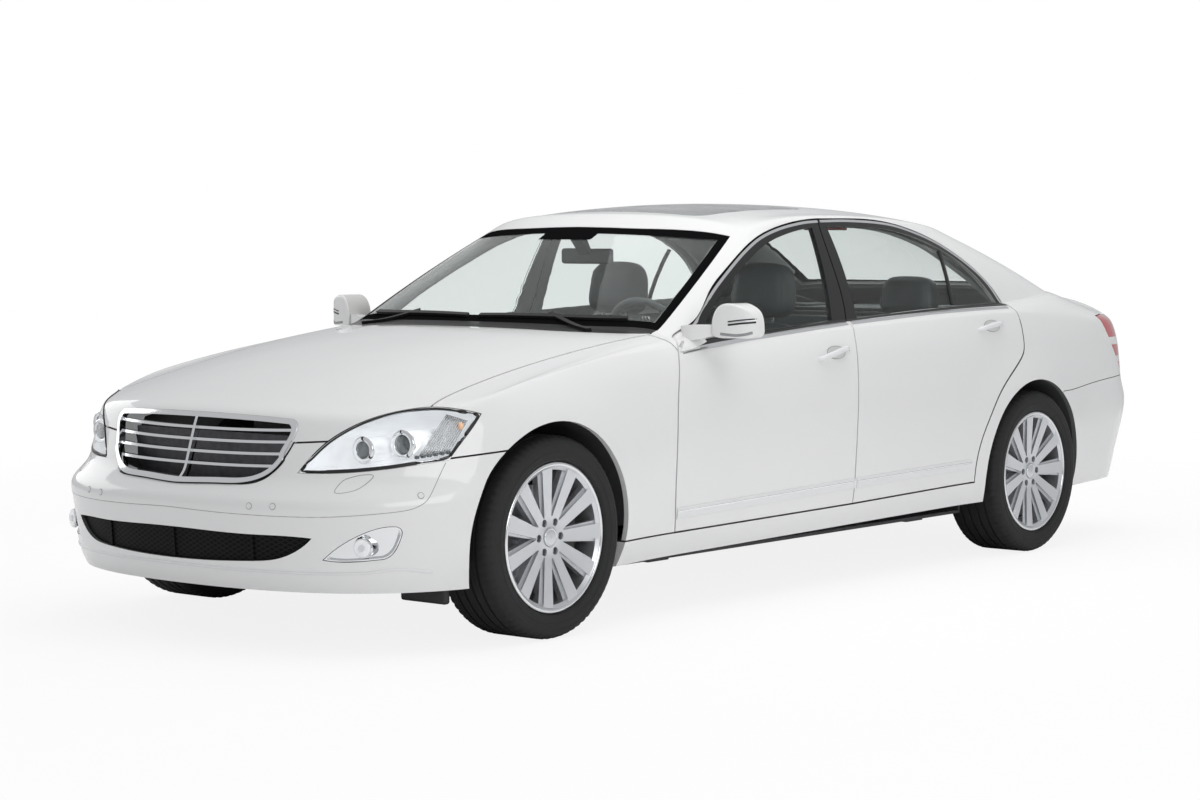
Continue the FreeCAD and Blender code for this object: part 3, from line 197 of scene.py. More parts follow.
sky = bpy.data.worlds.new("studio_sky")
bpy.context.scene.world = sky
sky.use_nodes = True
sky_nodes = sky.node_tree.nodes
sky_light = sky_nodes["Background"]
sky_light.inputs["Color"].default_value = (.97, .98, 1, 1)
sky_light.inputs["Strength"].default_value = .52
sky_seen = sky_nodes.new("ShaderNodeBackground")
sky_seen.inputs["Color"].default_value = camera_white
sky_rays = sky_nodes.new("ShaderNodeLightPath").outputs
sky_mix = sky_nodes.new("ShaderNodeMixShader")
sky_through = sky_nodes.new("ShaderNodeMath")
for start, end in ((sky_rays["Is Camera Ray"], sky_through.inputs[0]),
                   (sky_rays["Is Transmission Ray"], sky_through.inputs[1]),
                   (sky_through.outputs[0], sky_mix.inputs[0]), (sky_light.outputs[0], sky_mix.inputs[1]),
                   (sky_seen.outputs[0], sky_mix.inputs[2]),
                   (sky_mix.outputs[0], sky_nodes["World Output"].inputs["Surface"])):
    sky.node_tree.links.new(start, end)

soft_boxes = [
    ("soft_box_over", (-.3, .4, 4.6), (0, 0, .6), 6.5, 3.2, 150),
    ("soft_box_left", (3.5, 7.0, 2.6), (.6, 0, .7), 5.0, 2.6, 85),
    ("soft_box_right", (1.5, -7.0, 2.8), (0, 0, .7), 6.0, 2.6, 60),
    ("soft_box_back", (-7.5, .5, 3.0), (-1, 0, .8), 4.0, 2.4, 60)]
unseen_boxes = ["soft_box_over", "soft_box_back"]
for name, place, target, width, height, watts in soft_boxes:
    lamp = bpy.data.objects.new(name, bpy.data.lights.new(name, "AREA"))
    lamp.data.shape = "RECTANGLE"
    lamp.data.size = width
    lamp.data.size_y = height
    lamp.data.energy = watts
    lamp.visible_glossy = name not in unseen_boxes
    lamp.location = place
    lamp.rotation_euler = (Vector(target) - Vector(place)).to_track_quat("-Z", "Y").to_euler()
    bpy.context.scene.collection.objects.link(lamp)
bpy.context.scene.view_settings.view_transform = "Standard"


# White body panels: steel and aluminium pressings under a white base coat and a clear coat. Their
# faces that look into the cabin carry pale cloth lining above the windows' lower edge, dark below.
cabin_middle = (-.25, 0, .93)
lining_from = .99


def smooth_panel(node):
    """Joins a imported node's loose triangles and shades them smooth, with its real edges kept."""
    node.modifiers.new("smooth_shading", "NODES").node_group = smooth_shading


smooth_shading = bpy.data.node_groups.new("smooth_shading", "GeometryNodeTree")
smooth_shading.interface.new_socket("Geometry", in_out="INPUT", socket_type="NodeSocketGeometry")
smooth_shading.interface.new_socket("Geometry", in_out="OUTPUT", socket_type="NodeSocketGeometry")
steps = smooth_shading.nodes
welded = steps.new("GeometryNodeMergeByDistance")
welded.inputs["Distance"].default_value = .00002
softened = steps.new("GeometryNodeSetShadeSmooth")
creased = steps.new("GeometryNodeSetShadeSmooth")
creased.domain = "EDGE"
creased.inputs["Shade Smooth"].default_value = False
bend = steps.new("GeometryNodeInputMeshEdgeAngle")
sharp = steps.new("FunctionNodeCompare")
sharp.inputs[1].default_value = math.radians(28)
path = [steps.new("NodeGroupInput"), welded, softened, creased, steps.new("NodeGroupOutput")]
for first, second in zip(path, path[1:]):
    smooth_shading.links.new(first.outputs[0], second.inputs[0])
smooth_shading.links.new(bend.outputs["Unsigned Angle"], sharp.inputs[0])
smooth_shading.links.new(sharp.outputs[0], creased.inputs["Selection"])


def dress(names, finish):
    for name in names:
        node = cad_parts[name]
        node.data.materials.clear()
        node.data.materials.append(finish.material)
        smooth_panel(node)


def facing_cabin(finish):
    """1 on the faces that look towards the middle of the cabin, 0 outside."""
    out = finish.node("VectorMath", {"operation": "SUBTRACT"}, {0: finish.place(), 1: cabin_middle})
    normal = finish.node("TexCoord", {}, {}, "Normal")
    dot = finish.node("VectorMath", {"operation": "DOT_PRODUCT"}, {0: out, 1: normal}, "Value")
    return dot < 0


gloss_black = (.006, .006, .0065, 1)


def body_paint(name, black_where=None):
    """White clear-coated paint, the lining on the faces inside, and black gloss where a mask says so."""
    paint = Finish(name, Coat_Roughness=.025, Specular_IOR_Level=.5)
    lacquer = paint.blend(paint.grain(1.3), (.80, .80, .795, 1), (.825, .825, .82, 1))
    shine = 1.0
    if black_where:
        black = black_where(*paint.along(paint.place()))
        lacquer = paint.blend(black, lacquer, gloss_black)
        shine = 1 - black * .85
    height = paint.along(paint.place())[2]
    lining = paint.blend(height > lining_from, (.13, .135, .135, 1), (.50, .50, .49, 1))
    inside = facing_cabin(paint)
    paint.wear(Base_Color=paint.blend(inside, lacquer, lining), Roughness=.38 + inside * .5,
               Coat_Weight=shine * (1 - inside))
    paint.relief(paint.grain(420, 1), .00004)
    return paint


def door_frame(x, y, z):
    """Above the waist strip, whose height falls towards the nose."""
    return (z > 1.005 - x * .0526 - x * x * .0156) * (x < .83)


def cowl(x, y, z):
    """The panel at the foot of the windscreen, under the bonnet's rear edge."""
    return (x > 1.104 - y * y * .32) * (z > .97) * (abs(y) < .75)


white_paint = body_paint("white_paint")
dress(["front_wings", "front_bumper", "rear_bumper", "hood", "boot_lid", "mirror_left", "mirror_right"],
      white_paint)
dress(["body_shell"], body_paint("shell_paint", cowl))
corners = ["%s_%s" % (end, side) for end in ("front", "rear") for side in ("left", "right")]
dress([corner.replace("_", "_door_") for corner in corners], body_paint("door_paint", door_frame))

# Glass: laminated windscreen and tempered side panes, grey-green in the mass. The bonded panes
# have a black printed border that hides their glue.
def window_glass(name, tint, printed=None):
    finish = Finish(name, Base_Color=tint, Roughness=.0, Transmission_Weight=1.0, IOR=1.2)
    lamp_ray = finish.node("LightPath", {}, {}, "Is Shadow Ray")
    clear = finish.node("BsdfTransparent", {}, {"Color": tint})
    pane = finish.node("MixShader", {}, {0: lamp_ray, 1: finish.shaded(), 2: clear})
    if printed:
        frit = finish.node("BsdfDiffuse", {}, {"Color": gloss_black})
        pane = finish.node("MixShader", {}, {0: printed(*finish.along(finish.place())), 1: pane, 2: frit})
    finish.output(pane)
    return finish


def printed_border(x, y, z):
    """The border of the windscreen, with the sensor's field at its top, and that of the rear window."""
    y = abs(y)
    up = z - 1.006
    side = y > .724 - up * .25 - up * up * .36
    foot = x > 1.06 - y * y * .32
    top = z > 1.356 - y * y * .067
    sensor = (y < .13) * (z > 1.332)
    rear_side = y > .45 + (1.38 - z) * .504
    screen = (side + foot + top + sensor) > .5
    backlight = (rear_side + (z > 1.395) + (z < 1.135)) > .5
    return screen * (x > 0) + backlight * (x < 0)


window_tint = (.86, .895, .885, 1)
side_glass = window_glass("tinted_glass", window_tint)
dress([corner.replace("_", "_door_glass_") for corner in corners], side_glass)
dress(["bonded_glass"], window_glass("bordered_glass", window_tint, printed_border))
dress(["sunroof"], window_glass("roof_glass", (.62, .64, .64, 1)))
dress(["headlamp_covers"], window_glass("lamp_glass", (.96, .97, .98, 1)))

# Bright trim: chromed grille with its black depth, satin lamp bowls and bright rings.
# The metal is plated plastic; the bowls carry a pale vapour coat, lightened by a faint painted glow though
# the lamps are off.
bright_trim = Finish("lamp_chrome", polish=(.07, 9, .05), Base_Color=(.83, .84, .85, 1), Metallic=1.0)
dress(["fog_lamps"], bright_trim)
reflector = Finish("lamp_reflector_painted_glow", Metallic=.25, Coat_Weight=.6, Specular_IOR_Level=.8)
bowl_silver = reflector.blend(reflector.grain(18, 3), (.70, .71, .72, 1), (.92, .93, .94, 1))
# The bowls' silver also drives a faint emission: a painted glow that lightens them, not a lit lamp.
reflector.wear(Base_Color=bowl_silver, Emission_Color=bowl_silver, Emission_Strength=.22,
               Roughness=.28 + reflector.grain(14) * .08)
dress(["headlamps"], reflector)
grille_chrome = Finish("grille_chrome", Specular_IOR_Level=.05)
along, across, up = grille_chrome.along(grille_chrome.place())
grille_face = 2.455 + (.752 - up) * .405 - across * across * .28
deep = along < grille_face - .022
fins = (across % .03) < .004
depth_black = grille_chrome.blend(fins, (.006, .006, .006, 1), (.03, .03, .03, 1))
grille_chrome.wear(Base_Color=grille_chrome.blend(deep, (.86, .87, .88, 1), depth_black), Metallic=1 - deep,
                   Roughness=.10 + grille_chrome.grain(7) * .05 + deep * .4)
dress(["grille"], grille_chrome)

# Tail lamps: red lenses with fine ribs and two clear bands. Lower grille: a black diamond mesh, its openings
# in painted shade.
# Both are moulded plastic; the dark metals and plastics of the underside and the engine follow.
tail_red = Finish("tail_red", Roughness=.08, Coat_Weight=1.0)
level = tail_red.along(tail_red.place())[2]
clear_band = abs(level - .872) < .017
lower_band = abs(level - .790) < .013
ruby = tail_red.blend(tail_red.grain(30), (.46, .010, .018, 1), (.58, .02, .03, 1))
tail_red.wear(Base_Color=tail_red.blend(clear_band + lower_band, ruby, (.86, .85, .84, 1)))
tail_red.relief((level % .006) * 120.0, .0006)
dress(["tail_lamps"], tail_red)

black_plastic = Finish("black_plastic", ((.012, .012, .013), (.02, .02, .021), 60), relief=(900, 2, .0001),
                       Roughness=.45)
dress(["wipers"], black_plastic)
mesh_black = Finish("intake_mesh", Roughness=.6, Specular_IOR_Level=.12)
across, up = mesh_black.along(mesh_black.place())[1:]
web = (((across * .5 + up) % .016) < .004) + (((across * .5 - up) % .016) < .004)
# The web is black; the openings between it are painted darker, as painted shade seen through the mesh.
mesh_black.wear(Base_Color=mesh_black.blend(web, (.002, .002, .002, 1), (.012, .012, .013, 1)))
dress(["lower_grille"], mesh_black)

underbody_grey = Finish("underbody_grey", ((.035, .036, .038), (.06, .06, .062), 14, 5),
                        relief=(160, 4, .0008), Roughness=.8)
dress(["underbody"], underbody_grey)

cast_steel = Finish("cast_steel", ((.10, .10, .105), (.19, .185, .18), 22, 4), relief=(260, 3, .0004),
                    Roughness=.62, Metallic=.6)
dress(["suspension", "knuckle_left", "knuckle_right", "engine"], cast_steel)

core_metal = Finish("core_metal", ((.10, .10, .11), (.2, .2, .21), 40), Metallic=.8, Roughness=.5)
dress(["radiator"], core_metal)

exhaust_steel = Finish("exhaust_steel", ((.34, .33, .32), (.5, .5, .5), 8, 3), polish=(.28, 25, .2),
                       Metallic=1.0)
dress(["exhaust"], exhaust_steel)

trim_grey = Finish("trim_grey", ((.042, .047, .048), (.055, .06, .06), 5), relief=(700, 3, .0002),
                   Roughness=.62)
dress(["dashboard", "steering_wheel", "cabin_mirror"], trim_grey)

tyre_rubber = Finish("tyre_rubber", ((.008, .008, .0085), (.015, .015, .0155), 12), relief=(600, 2, .0002),
                     Roughness=.72)
dress(["tyre_" + corner for corner in corners], tyre_rubber)

rim_silver = Finish("rim_silver", ((.66, .67, .69), (.71, .72, .74), 5), polish=(.30, 18, .08),
                    Metallic=.85, Coat_Weight=.6, Coat_Roughness=.08)
dress(["rim_" + corner for corner in corners], rim_silver)


# Window surrounds and waist strip: bright anodised strips on the door frames, with the black gloss
# frames between them and the glass.
def smooth_line(points, steps, closed=False):
    """A smooth line through given points, with a number of steps from each point to the next."""
    knots = [Vector(p) for p in points]
    count = len(knots)
    line = []
    for i in range(count if closed else count - 1):
        if closed:
            a, b, c, d = (knots[(i + k) % count] for k in (-1, 0, 1, 2))
        else:
            b, c = knots[i], knots[i + 1]
            a = knots[i - 1] if i else b * 2 - c
            d = knots[i + 2] if i + 2 < count else c * 2 - b
        for k in range(steps):
            t = k / steps
            line.append(.5 * ((2 * b) + (c - a) * t + (2 * a - 5 * b + 4 * c - d) * t ** 2
                              + (3 * b - a - 3 * c + d) * t ** 3))
    return line if closed else line + [knots[-1]]


def panel_tree(*names):
    """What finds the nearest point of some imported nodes."""
    joined = bmesh.new()
    for name in names:
        joined.from_mesh(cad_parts[name].data)
    tree = BVHTree.FromBMesh(joined)
    joined.free()
    return tree


def lay_on(tree, line, outward=None, reach=.3):
    """Each point of a line moved to the panel, with the panel's normal there."""
    stations = []
    for p in line:
        if outward is None:
            place, normal, _, _ = tree.find_nearest(p)
        else:
            place, normal, _, _ = tree.ray_cast(p + Vector(outward) * reach, -Vector(outward))
        if place is None:
            continue
        if outward is not None and normal.dot(Vector(outward)) < 0:
            normal = -normal
        stations.append((place, normal))
    return stations


def grid_piece(name, rows, wrap_rows=False, wrap_columns=False, capped=False):
    """A skin over rows of points: a grid whose corners are moved to them, with joined ends where wrapped."""
    rows = [list(row) for row in rows]
    if wrap_columns:
        rows = [row + [row[0]] for row in rows]
    if wrap_rows:
        rows = rows + [rows[0]]
    shape = bmesh.new()
    m, n = len(rows) - 1, len(rows[0]) - 1
    bmesh.ops.create_grid(shape, x_segments=m, y_segments=n, size=1)
    for vert in shape.verts:
        i = round((vert.co.x + 1) / 2 * m)
        j = round((vert.co.y + 1) / 2 * n)
        vert.co = rows[i][j]
    if wrap_rows or wrap_columns or capped:
        bmesh.ops.remove_doubles(shape, verts=shape.verts[:], dist=1e-6)
    if capped:
        bmesh.ops.holes_fill(shape, edges=shape.edges[:], sides=0)
    bmesh.ops.recalc_face_normals(shape, faces=shape.faces[:])
    return finished(name, shape)


def finished(name, shape, smooth=True):
    mesh = bpy.data.meshes.new(name)
    shape.to_mesh(mesh)
    shape.free()
    piece = bpy.data.objects.new(name, mesh)
    bpy.context.scene.collection.objects.link(piece)
    for face in mesh.polygons:
        face.use_smooth = smooth
    return piece


def fit(piece, finish, body, crease=35):
    """Gives a piece its finish, the body that carries it, and sharp edges."""
    piece.data.materials.append(finish.material)
    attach(piece, body)
    piece.data.set_sharp_from_angle(angle=math.radians(crease))
    return piece


def strip(name, stations, half, proud, sink=.002, closed=False):
    """A low rounded strip along the stations of a line on a panel."""
    section = [(-1, -sink / proud), (-1, .45), (-.72, .9), (0, 1), (.72, .9), (1, .45), (1, -sink / proud)]
    rows = []
    count = len(stations)
    for i, (place, normal) in enumerate(stations):
        before = stations[i - 1][0] if i or closed else place
        after = stations[(i + 1) % count][0] if i + 1 < count or closed else place
        across = normal.cross(after - before).normalized()
        rows.append([place + across * (a * half) + normal * (b * proud) for a, b in section])
    return grid_piece(name, rows, wrap_rows=closed, wrap_columns=True, capped=not closed)


def millimetres(points):
    return [Vector(p) / 1000 for p in points]


two_sides = (("left", 1), ("right", -1))


def on_side(stations, flip):
    """The stations of a left-hand line, on the left-hand side with 1 or on the right-hand with -1."""
    across = Vector((1, flip, 1))
    return [(place * across, normal * across) for place, normal in stations]


front_rail = millimetres([(930, 858, 953), (775, 796, 1027), (623, 755, 1130), (480, 722, 1210),
                          (337, 694, 1282), (206, 677, 1336), (65, 667, 1371), (-89, 661, 1393),
                          (-196, 661, 1400)])
rear_rail = millimetres([(-212, 661, 1401), (-418, 658, 1402), (-669, 658, 1391), (-844, 666, 1363),
                         (-1027, 686, 1310), (-1189, 719, 1232), (-1310, 752, 1148), (-1388, 812, 1054)])
front_waist = millimetres([(930, 868, 937), (602, 857, 964), (376, 852, 977), (100, 846, 993),
                           (-160, 838, 1007)])
rear_waist = millimetres([(-186, 838, 1008), (-480, 833, 1019), (-767, 828, 1030), (-1080, 828, 1037),
                          (-1382, 832, 1042)])
anodised = Finish("anodised_strip", polish=(.16, 20, .06), Base_Color=(.84, .85, .86, 1), Metallic=1.0)
outward_left = Vector((0, .96, .28))
door_trees = {end: panel_tree(end + "_door_left") for end in ("front", "rear")}
for end, rail, waist in (("front", front_rail, front_waist), ("rear", rear_rail, rear_waist)):
    rail_stations = lay_on(door_trees[end], smooth_line(rail, 8), outward_left)
    waist_stations = lay_on(door_trees[end], smooth_line(waist, 8), outward_left)
    for side, flip in two_sides:
        for part, stations, half in (("rail", rail_stations, .0055), ("waist", waist_stations, .009)):
            piece = strip("%s_%s_strip_%s" % (end, part, side), on_side(stations, flip), half, .0025)
            fit(piece, anodised, "%s_door_%s" % (end, side))

# Side mouldings low on the doors: body-coloured rubbing strips with a bright line set in them.
# They are moulded plastic, clipped to the door skins.
moulding_runs = {"front": ((1000, 365), (-118, 391)), "rear": ((-136, 391), (-968, 407))}
moulding_paint = Finish("moulding_paint", ((.78, .785, .79), (.80, .805, .81), 3),
                        Roughness=.4, Coat_Weight=.8)
for end, ((x0, z0), (x1, z1)) in moulding_runs.items():
    guide = [Vector((x0 + (x1 - x0) * t / 8, 900, z0 + (z1 - z0) * t / 8)) / 1000 for t in range(9)]
    stations = lay_on(door_trees[end], guide, (0, 1, 0))
    for side, flip in two_sides:
        door = "%s_door_%s" % (end, side)
        sided = on_side(stations, flip)
        fit(strip("%s_moulding_%s" % (end, side), sided, .021, .005), moulding_paint, door)
        upper = [(place + Vector((0, 0, .007)) + normal * .0045, normal) for place, normal in sided]
        line = strip("%s_moulding_line_%s" % (end, side), upper, .0035, .0018)
        fit(line, anodised, door)

# Door handles: a body-coloured pull over an oval hollow, with a round key disc at its rear end.
# The pull is a moulding on two hidden screws; the hollow pressed into the door's skin is a thin oval in
# painted shade, ringed by a painted shadow line.
def upright(place, normal):
    """The matrix that stands a piece's own Z along a direction at a place."""
    return Matrix.Translation(place) @ normal.to_track_quat("Z", "Y").to_matrix().to_4x4()


def add_disc(shape, sides, low_radius, high_radius, depth, matrix):
    """A disc or a short rod about its own Z, with a radius at each end."""
    bmesh.ops.create_cone(shape, cap_ends=True, segments=sides, radius1=low_radius, radius2=high_radius,
                          depth=depth, matrix=matrix)


def turn_about(count):
    """Even angles round a circle."""
    return [2 * math.pi * k / count for k in range(count)]


handle_runs = {"front": ((-.094, .911), (.126, .872)), "rear": ((-1.261, .972), (-1.063, .949))}
handle_rise = .034
# The hollow's darker white is painted shade for its depth; the grey serves the seams between panels and the
# painted shadow ring round the hollow.
hollow_painted_shade = Finish("hollow_painted_shade", ((.60, .60, .595), (.64, .64, .635), 3), Roughness=.5, Coat_Weight=.4)
trim_shadow = Finish("seam_and_shadow_grey", ((.26, .26, .26), (.34, .34, .34), 60), Roughness=.6)
for end, ((x0, z0), (x1, z1)) in handle_runs.items():
    guide = [Vector((x0 + (x1 - x0) * t / 10, .95, z0 + (z1 - z0) * t / 10 + .006)) for t in range(11)]
    stations = lay_on(door_trees[end], guide, (0, 1, 0))
    for side, flip in two_sides:
        door = "%s_door_%s" % (end, side)
        sided = on_side(stations, flip)
        rows = []
        for i, (place, normal) in enumerate(sided):
            t = i / (len(sided) - 1)
            lift = handle_rise * math.sin(math.pi * t) ** .45 if 0 < t < 1 else 0
            across = Vector((0, 0, 1)) - normal * normal.z
            half = .012 * (.72 + .28 * math.sin(math.pi * t))
            centre = place + normal * (lift - .006)
            rows.append([centre + across * (half * math.cos(a)) + normal * (.0075 * math.sin(a))
                         for a in turn_about(12)])
        pull = grid_piece("%s_handle_%s" % (end, side), rows, wrap_columns=True, capped=True)
        fit(pull, moulding_paint, door, 60)
        middle, out = sided[4]
        upward = Vector((0, 0, 1)) - out * out.z
        along = upward.cross(out)
        hollow_rows = []
        for share, depth in ((1.0, .0012), (.9, .0014), (.6, .0012), (.2, .001)):
            centre = middle + out * depth
            hollow_rows.append([centre + along * (.062 * share * math.cos(a))
                                + upward * (.026 * share * math.sin(a)) for a in turn_about(36)])
        hollow = grid_piece("%s_handle_hollow_%s" % (end, side), hollow_rows, wrap_columns=True, capped=True)
        fit(hollow, hollow_painted_shade, door, 60)
        # A grey ring round the hollow's edge: a painted shadow line.
        rim = [(place, out) for place in hollow_rows[0]]
        rim_shadow_ring = strip("%s_handle_rim_%s" % (end, side), rim, .0010, .0004, closed=True)
        fit(rim_shadow_ring, trim_shadow, door)
        place, out = sided[0]
        disc = bmesh.new()
        add_disc(disc, 32, .0105, .0095, .006, upright(place + out * .003 + Vector((-.004, 0, -.004)), out))
        fit(finished("%s_lock_%s" % (end, side), disc), moulding_paint, door)

# Headlamps: under the clear cover a pale bowl, two projectors with thick lenses in bright rings and,
# at the outer end, the ribbed clear indicator with its amber bulb. A black gasket goes round the cover.
lamp_edge = millimetres([(2440, 480, 594), (2416, 508, 637), (2385, 546, 682), (2350, 594, 721),
                         (2294, 651, 757), (2206, 706, 781), (2139, 762, 790), (2080, 826, 784),
                         (2020, 862, 769), (2046, 861, 736), (2094, 849, 684), (2134, 836, 638),
                         (2243, 769, 620), (2318, 702, 608), (2386, 607, 598)])
lamp_outward = Vector((.8, .6, 0))
gasket_black = Finish("gasket_black", ((.008, .008, .008), (.014, .014, .014), 40), Roughness=.35)
cover_tree = panel_tree("headlamp_covers")
gasket_stations = []
for p in smooth_line(lamp_edge, 6, closed=True):
    place, normal, _, _ = cover_tree.find_nearest(p)
    if normal.dot(lamp_outward) < .2:
        normal = (normal + lamp_outward).normalized()
    gasket_stations.append((place, normal))
lens_glass = Finish("projector_lens", ((.07, .085, .09), (.14, .155, .16), 25), Roughness=.03,
                    Coat_Weight=1.0, Coat_Roughness=.02)
amber = Finish("indicator_bulb", ((.72, .36, .18), (.80, .48, .28), 80), Roughness=.15, Coat_Weight=1.0)
projector_places = [(Vector((2.330, .640, .663)), .040), (Vector((2.246, .736, .680)), .044)]


def spun(points, centre, axis, steps):
    """A ring turned from a closed section about an axis."""
    ring = bmesh.new()
    bead = [ring.verts.new(p) for p in points]
    loop = [ring.edges.new((bead[k - 1], bead[k])) for k in range(len(bead))]
    bmesh.ops.spin(ring, geom=bead + loop, cent=centre, axis=axis, angle=math.tau, steps=steps,
                   use_merge=True)
    bmesh.ops.recalc_face_normals(ring, faces=ring.faces[:])
    return ring


for side, flip in two_sides:
    gasket = strip("headlamp_gasket_" + side, on_side(gasket_stations, flip), .0055, .0015, .004, closed=True)
    fit(gasket, gasket_black, "body")
    for k, (centre, radius) in enumerate(projector_places):
        aim = Vector((1, flip * .06, -.02)).normalized()
        face = Vector((centre.x - .006, flip * centre.y, centre.z))
        turn = upright(face, aim)
        lens = bmesh.new()
        bmesh.ops.create_uvsphere(lens, u_segments=40, v_segments=20, radius=radius * .80)
        bmesh.ops.bisect_plane(lens, geom=lens.verts[:] + lens.edges[:] + lens.faces[:], plane_co=(0, 0, 0),
                               plane_no=(0, 0, -1), clear_outer=True)
        bmesh.ops.scale(lens, vec=(1, 1, .55), verts=lens.verts[:])
        bmesh.ops.holes_fill(lens, edges=lens.edges[:], sides=0)
        lens.transform(turn @ Matrix.Translation((0, 0, -.012)))
        fit(finished("projector_lens_%d_%s" % (k, side), lens), lens_glass, "body", 60)
        bead = [(radius + .009 * math.cos(a) - .004, 0, .006 * math.sin(a)) for a in turn_about(12)]
        ring = spun(bead, (0, 0, 0), (0, 0, 1), 48)
        ring.transform(turn)
        fit(finished("projector_ring_%d_%s" % (k, side), ring), bright_trim, "body", 60)

# Indicators in the outer end of the headlamps: a slanting ribbed lens over an amber bulb, and the row of
# small square cells under it. Moulded in clear plastic, clipped into the bowl.
turned_sides = [(side, Vector((1, flip, 1))) for side, flip in two_sides]


def add_box(shape, size, middle):
    corners = bmesh.ops.create_cube(shape, size=1.0)["verts"]
    bmesh.ops.scale(shape, vec=size, verts=corners)
    bmesh.ops.translate(shape, vec=middle, verts=corners)


def rounded_boxes(boxes, edge, segments=2, clamp=False):
    """Boxes of a size and a middle, with their edges rounded."""
    shape = bmesh.new()
    for size, middle in boxes:
        add_box(shape, size, middle)
    bmesh.ops.bevel(shape, geom=shape.edges[:], offset=edge, segments=segments, affect="EDGES", profile=.5,
                    material=-1, clamp_overlap=clamp)
    return shape


rib_count = 11
indicator_corners = [p - lamp_outward * .017 for p in millimetres([
    (2222, 780, 638), (2110, 806, 774), (2056, 850, 752), (2132, 836, 650)])]
rib_grey = Finish("indicator_ribs", ((.34, .345, .35), (.72, .73, .74), 70, 3), polish=(.16, 30, .1),
                  Metallic=.6)
low_in, high_in, high_out, low_out = indicator_corners
first_cell, last_cell = millimetres([(2222, 780, 640), (2134, 836, 653)])
cell_count = 6
cell_size = .012
for side, flip in turned_sides:
    rows = []
    for i in range(rib_count * 4 + 1):
        t = i / (rib_count * 4)
        foot, head = low_in.lerp(low_out, t), high_in.lerp(high_out, t)
        ridge = lamp_outward * (.0035 * abs(math.sin(math.pi * rib_count * t)))
        rows.append([(foot.lerp(head, u / 6) + ridge) * flip for u in range(7)])
    ribbed = grid_piece("indicator_ribs_" + side, rows)
    ribbed.modifiers.new("thickness", "SOLIDIFY").thickness = .002
    fit(ribbed, rib_grey, "body", 20)
    bulb = bmesh.new()
    bulb_place = (low_in.lerp(high_out, .86) + lamp_outward * .008) * flip
    bmesh.ops.create_uvsphere(bulb, u_segments=20, v_segments=12, radius=.009)
    bmesh.ops.scale(bulb, vec=(1, 1, 1.5), verts=bulb.verts[:])
    bmesh.ops.translate(bulb, vec=bulb_place, verts=bulb.verts[:])
    fit(finished("indicator_bulb_" + side, bulb), amber, "body", 60)
    shares = [i / (cell_count - 1) for i in range(cell_count)]
    spots = [first_cell.lerp(last_cell, share) - lamp_outward * .008 for share in shares]
    cells = rounded_boxes([((cell_size,) * 3, spot * flip) for spot in spots], .0015)
    fit(finished("lamp_cells_" + side, cells), lens_glass, "body", 40)

# Fog lamps: a round clear lens with a bright rim and a small bulb, let into the chromed bezel, whose
# opening in the bumper has a dark seal.
fog_edge = millimetres([(2465, 593, 316), (2438, 644, 363), (2395, 706, 404), (2353, 750, 423),
                        (2316, 780, 425), (2302, 791, 410), (2302, 784, 380), (2320, 767, 335),
                        (2342, 746, 318), (2383, 706, 313), (2446, 624, 311)])
fog_seal = [(place, lamp_outward)
            for place, _ in lay_on(panel_tree("fog_lamps"), smooth_line(fog_edge, 5, closed=True))]
for side, flip in two_sides:
    seal = strip("fog_seal_" + side, on_side(fog_seal, flip), .0016, .0012, closed=True)
    fit(seal, gasket_black, "body")
    turn = upright((2.3935, flip * .7065, .357), Vector((.95, flip * .3, 0)).normalized())
    # The fog lamps' lens takes the headlamp bowls' finish, with its faint painted glow.
    for name, radius, depth, finish, slot in (("rim", .034, .008, bright_trim, "lamp_chrome"),
                                              ("lens", .029, .011, reflector, "lamp_glass"),
                                              ("bulb", .012, .016, bright_trim, "lamp_chrome")):
        disc = bmesh.new()
        add_disc(disc, 40, radius, radius * .93, depth, turn @ Matrix.Translation((0, 0, depth / 2)))
        fit(finished("fog_%s_%s" % (name, side), disc), finish, "body")


# Front bumper's small parts: parking sensors, the washer flaps' outline, the seam of the rubbing band
# and the lip's rounded edge, all body-coloured mouldings; and a black air guide ahead of each wheel.
def sensor(name, station):
    """A round body-coloured face in a thin seam, let into a bumper."""
    place, normal = station
    for part, radius, depth, finish in (("seam", .0115, .0008, trim_shadow),
                                        ("face", .0098, .0018, moulding_paint)):
        disc = bmesh.new()
        add_disc(disc, 28, radius, radius * .94, depth, upright(place + normal * depth / 2, normal))
        fit(finished(name % part, disc), finish, "body")


def seam(name, stations, half=.0011, closed=False):
    """A thin grey line where two white panels or a flap and its panel meet."""
    fit(strip(name, stations, half, .0004, closed=closed), trim_shadow, "body")


bumper_tree = panel_tree("front_bumper")
lip_line = millimetres([(2572, 0, 274), (2568, 150, 273), (2545, 330, 272), (2513, 459, 272),
                        (2445, 613, 272), (2380, 697, 275), (2302, 773, 285), (2200, 826, 272)])
band_seam = millimetres([(2598, 0, 462), (2595, 105, 460), (2556, 395, 455), (2457, 639, 458),
                         (2380, 736, 466), (2301, 798, 475), (2260, 822, 487), (2225, 833, 510),
                         (2184, 833, 561), (2145, 838, 622)])
washer_line = millimetres([(2434, 621, 532), (2394, 672, 545), (2332, 694, 582), (2350, 660, 584),
                           (2394, 617, 567)])
lip_stations = lay_on(bumper_tree, smooth_line(lip_line, 6))
seam_stations = lay_on(bumper_tree, smooth_line(band_seam, 6))
washer_stations = lay_on(bumper_tree, smooth_line(washer_line, 5, closed=True))
sensor_spots = millimetres([(2567, 363, 484), (2544, 449, 486), (2245, 820, 522)])
for side, flip in two_sides:
    lip = strip("bumper_lip_" + side, on_side(lip_stations, flip), .0045, .003)
    fit(lip, moulding_paint, "body", 60)
    seam("band_seam_" + side, on_side(seam_stations, flip))
    guide = rounded_boxes([((.030, .20, .060), (2.12, flip * .72, .185))], .010, 3)
    fit(finished("air_guide_" + side, guide), black_plastic, "body")
    seam("washer_seam_" + side, on_side(washer_stations, flip), .0012, closed=True)
    for k, spot in enumerate(sensor_spots):
        sensor("sensor_%%s_%d_%s" % (k, side), lay_on(bumper_tree, [spot * Vector((1, flip, 1))])[0])

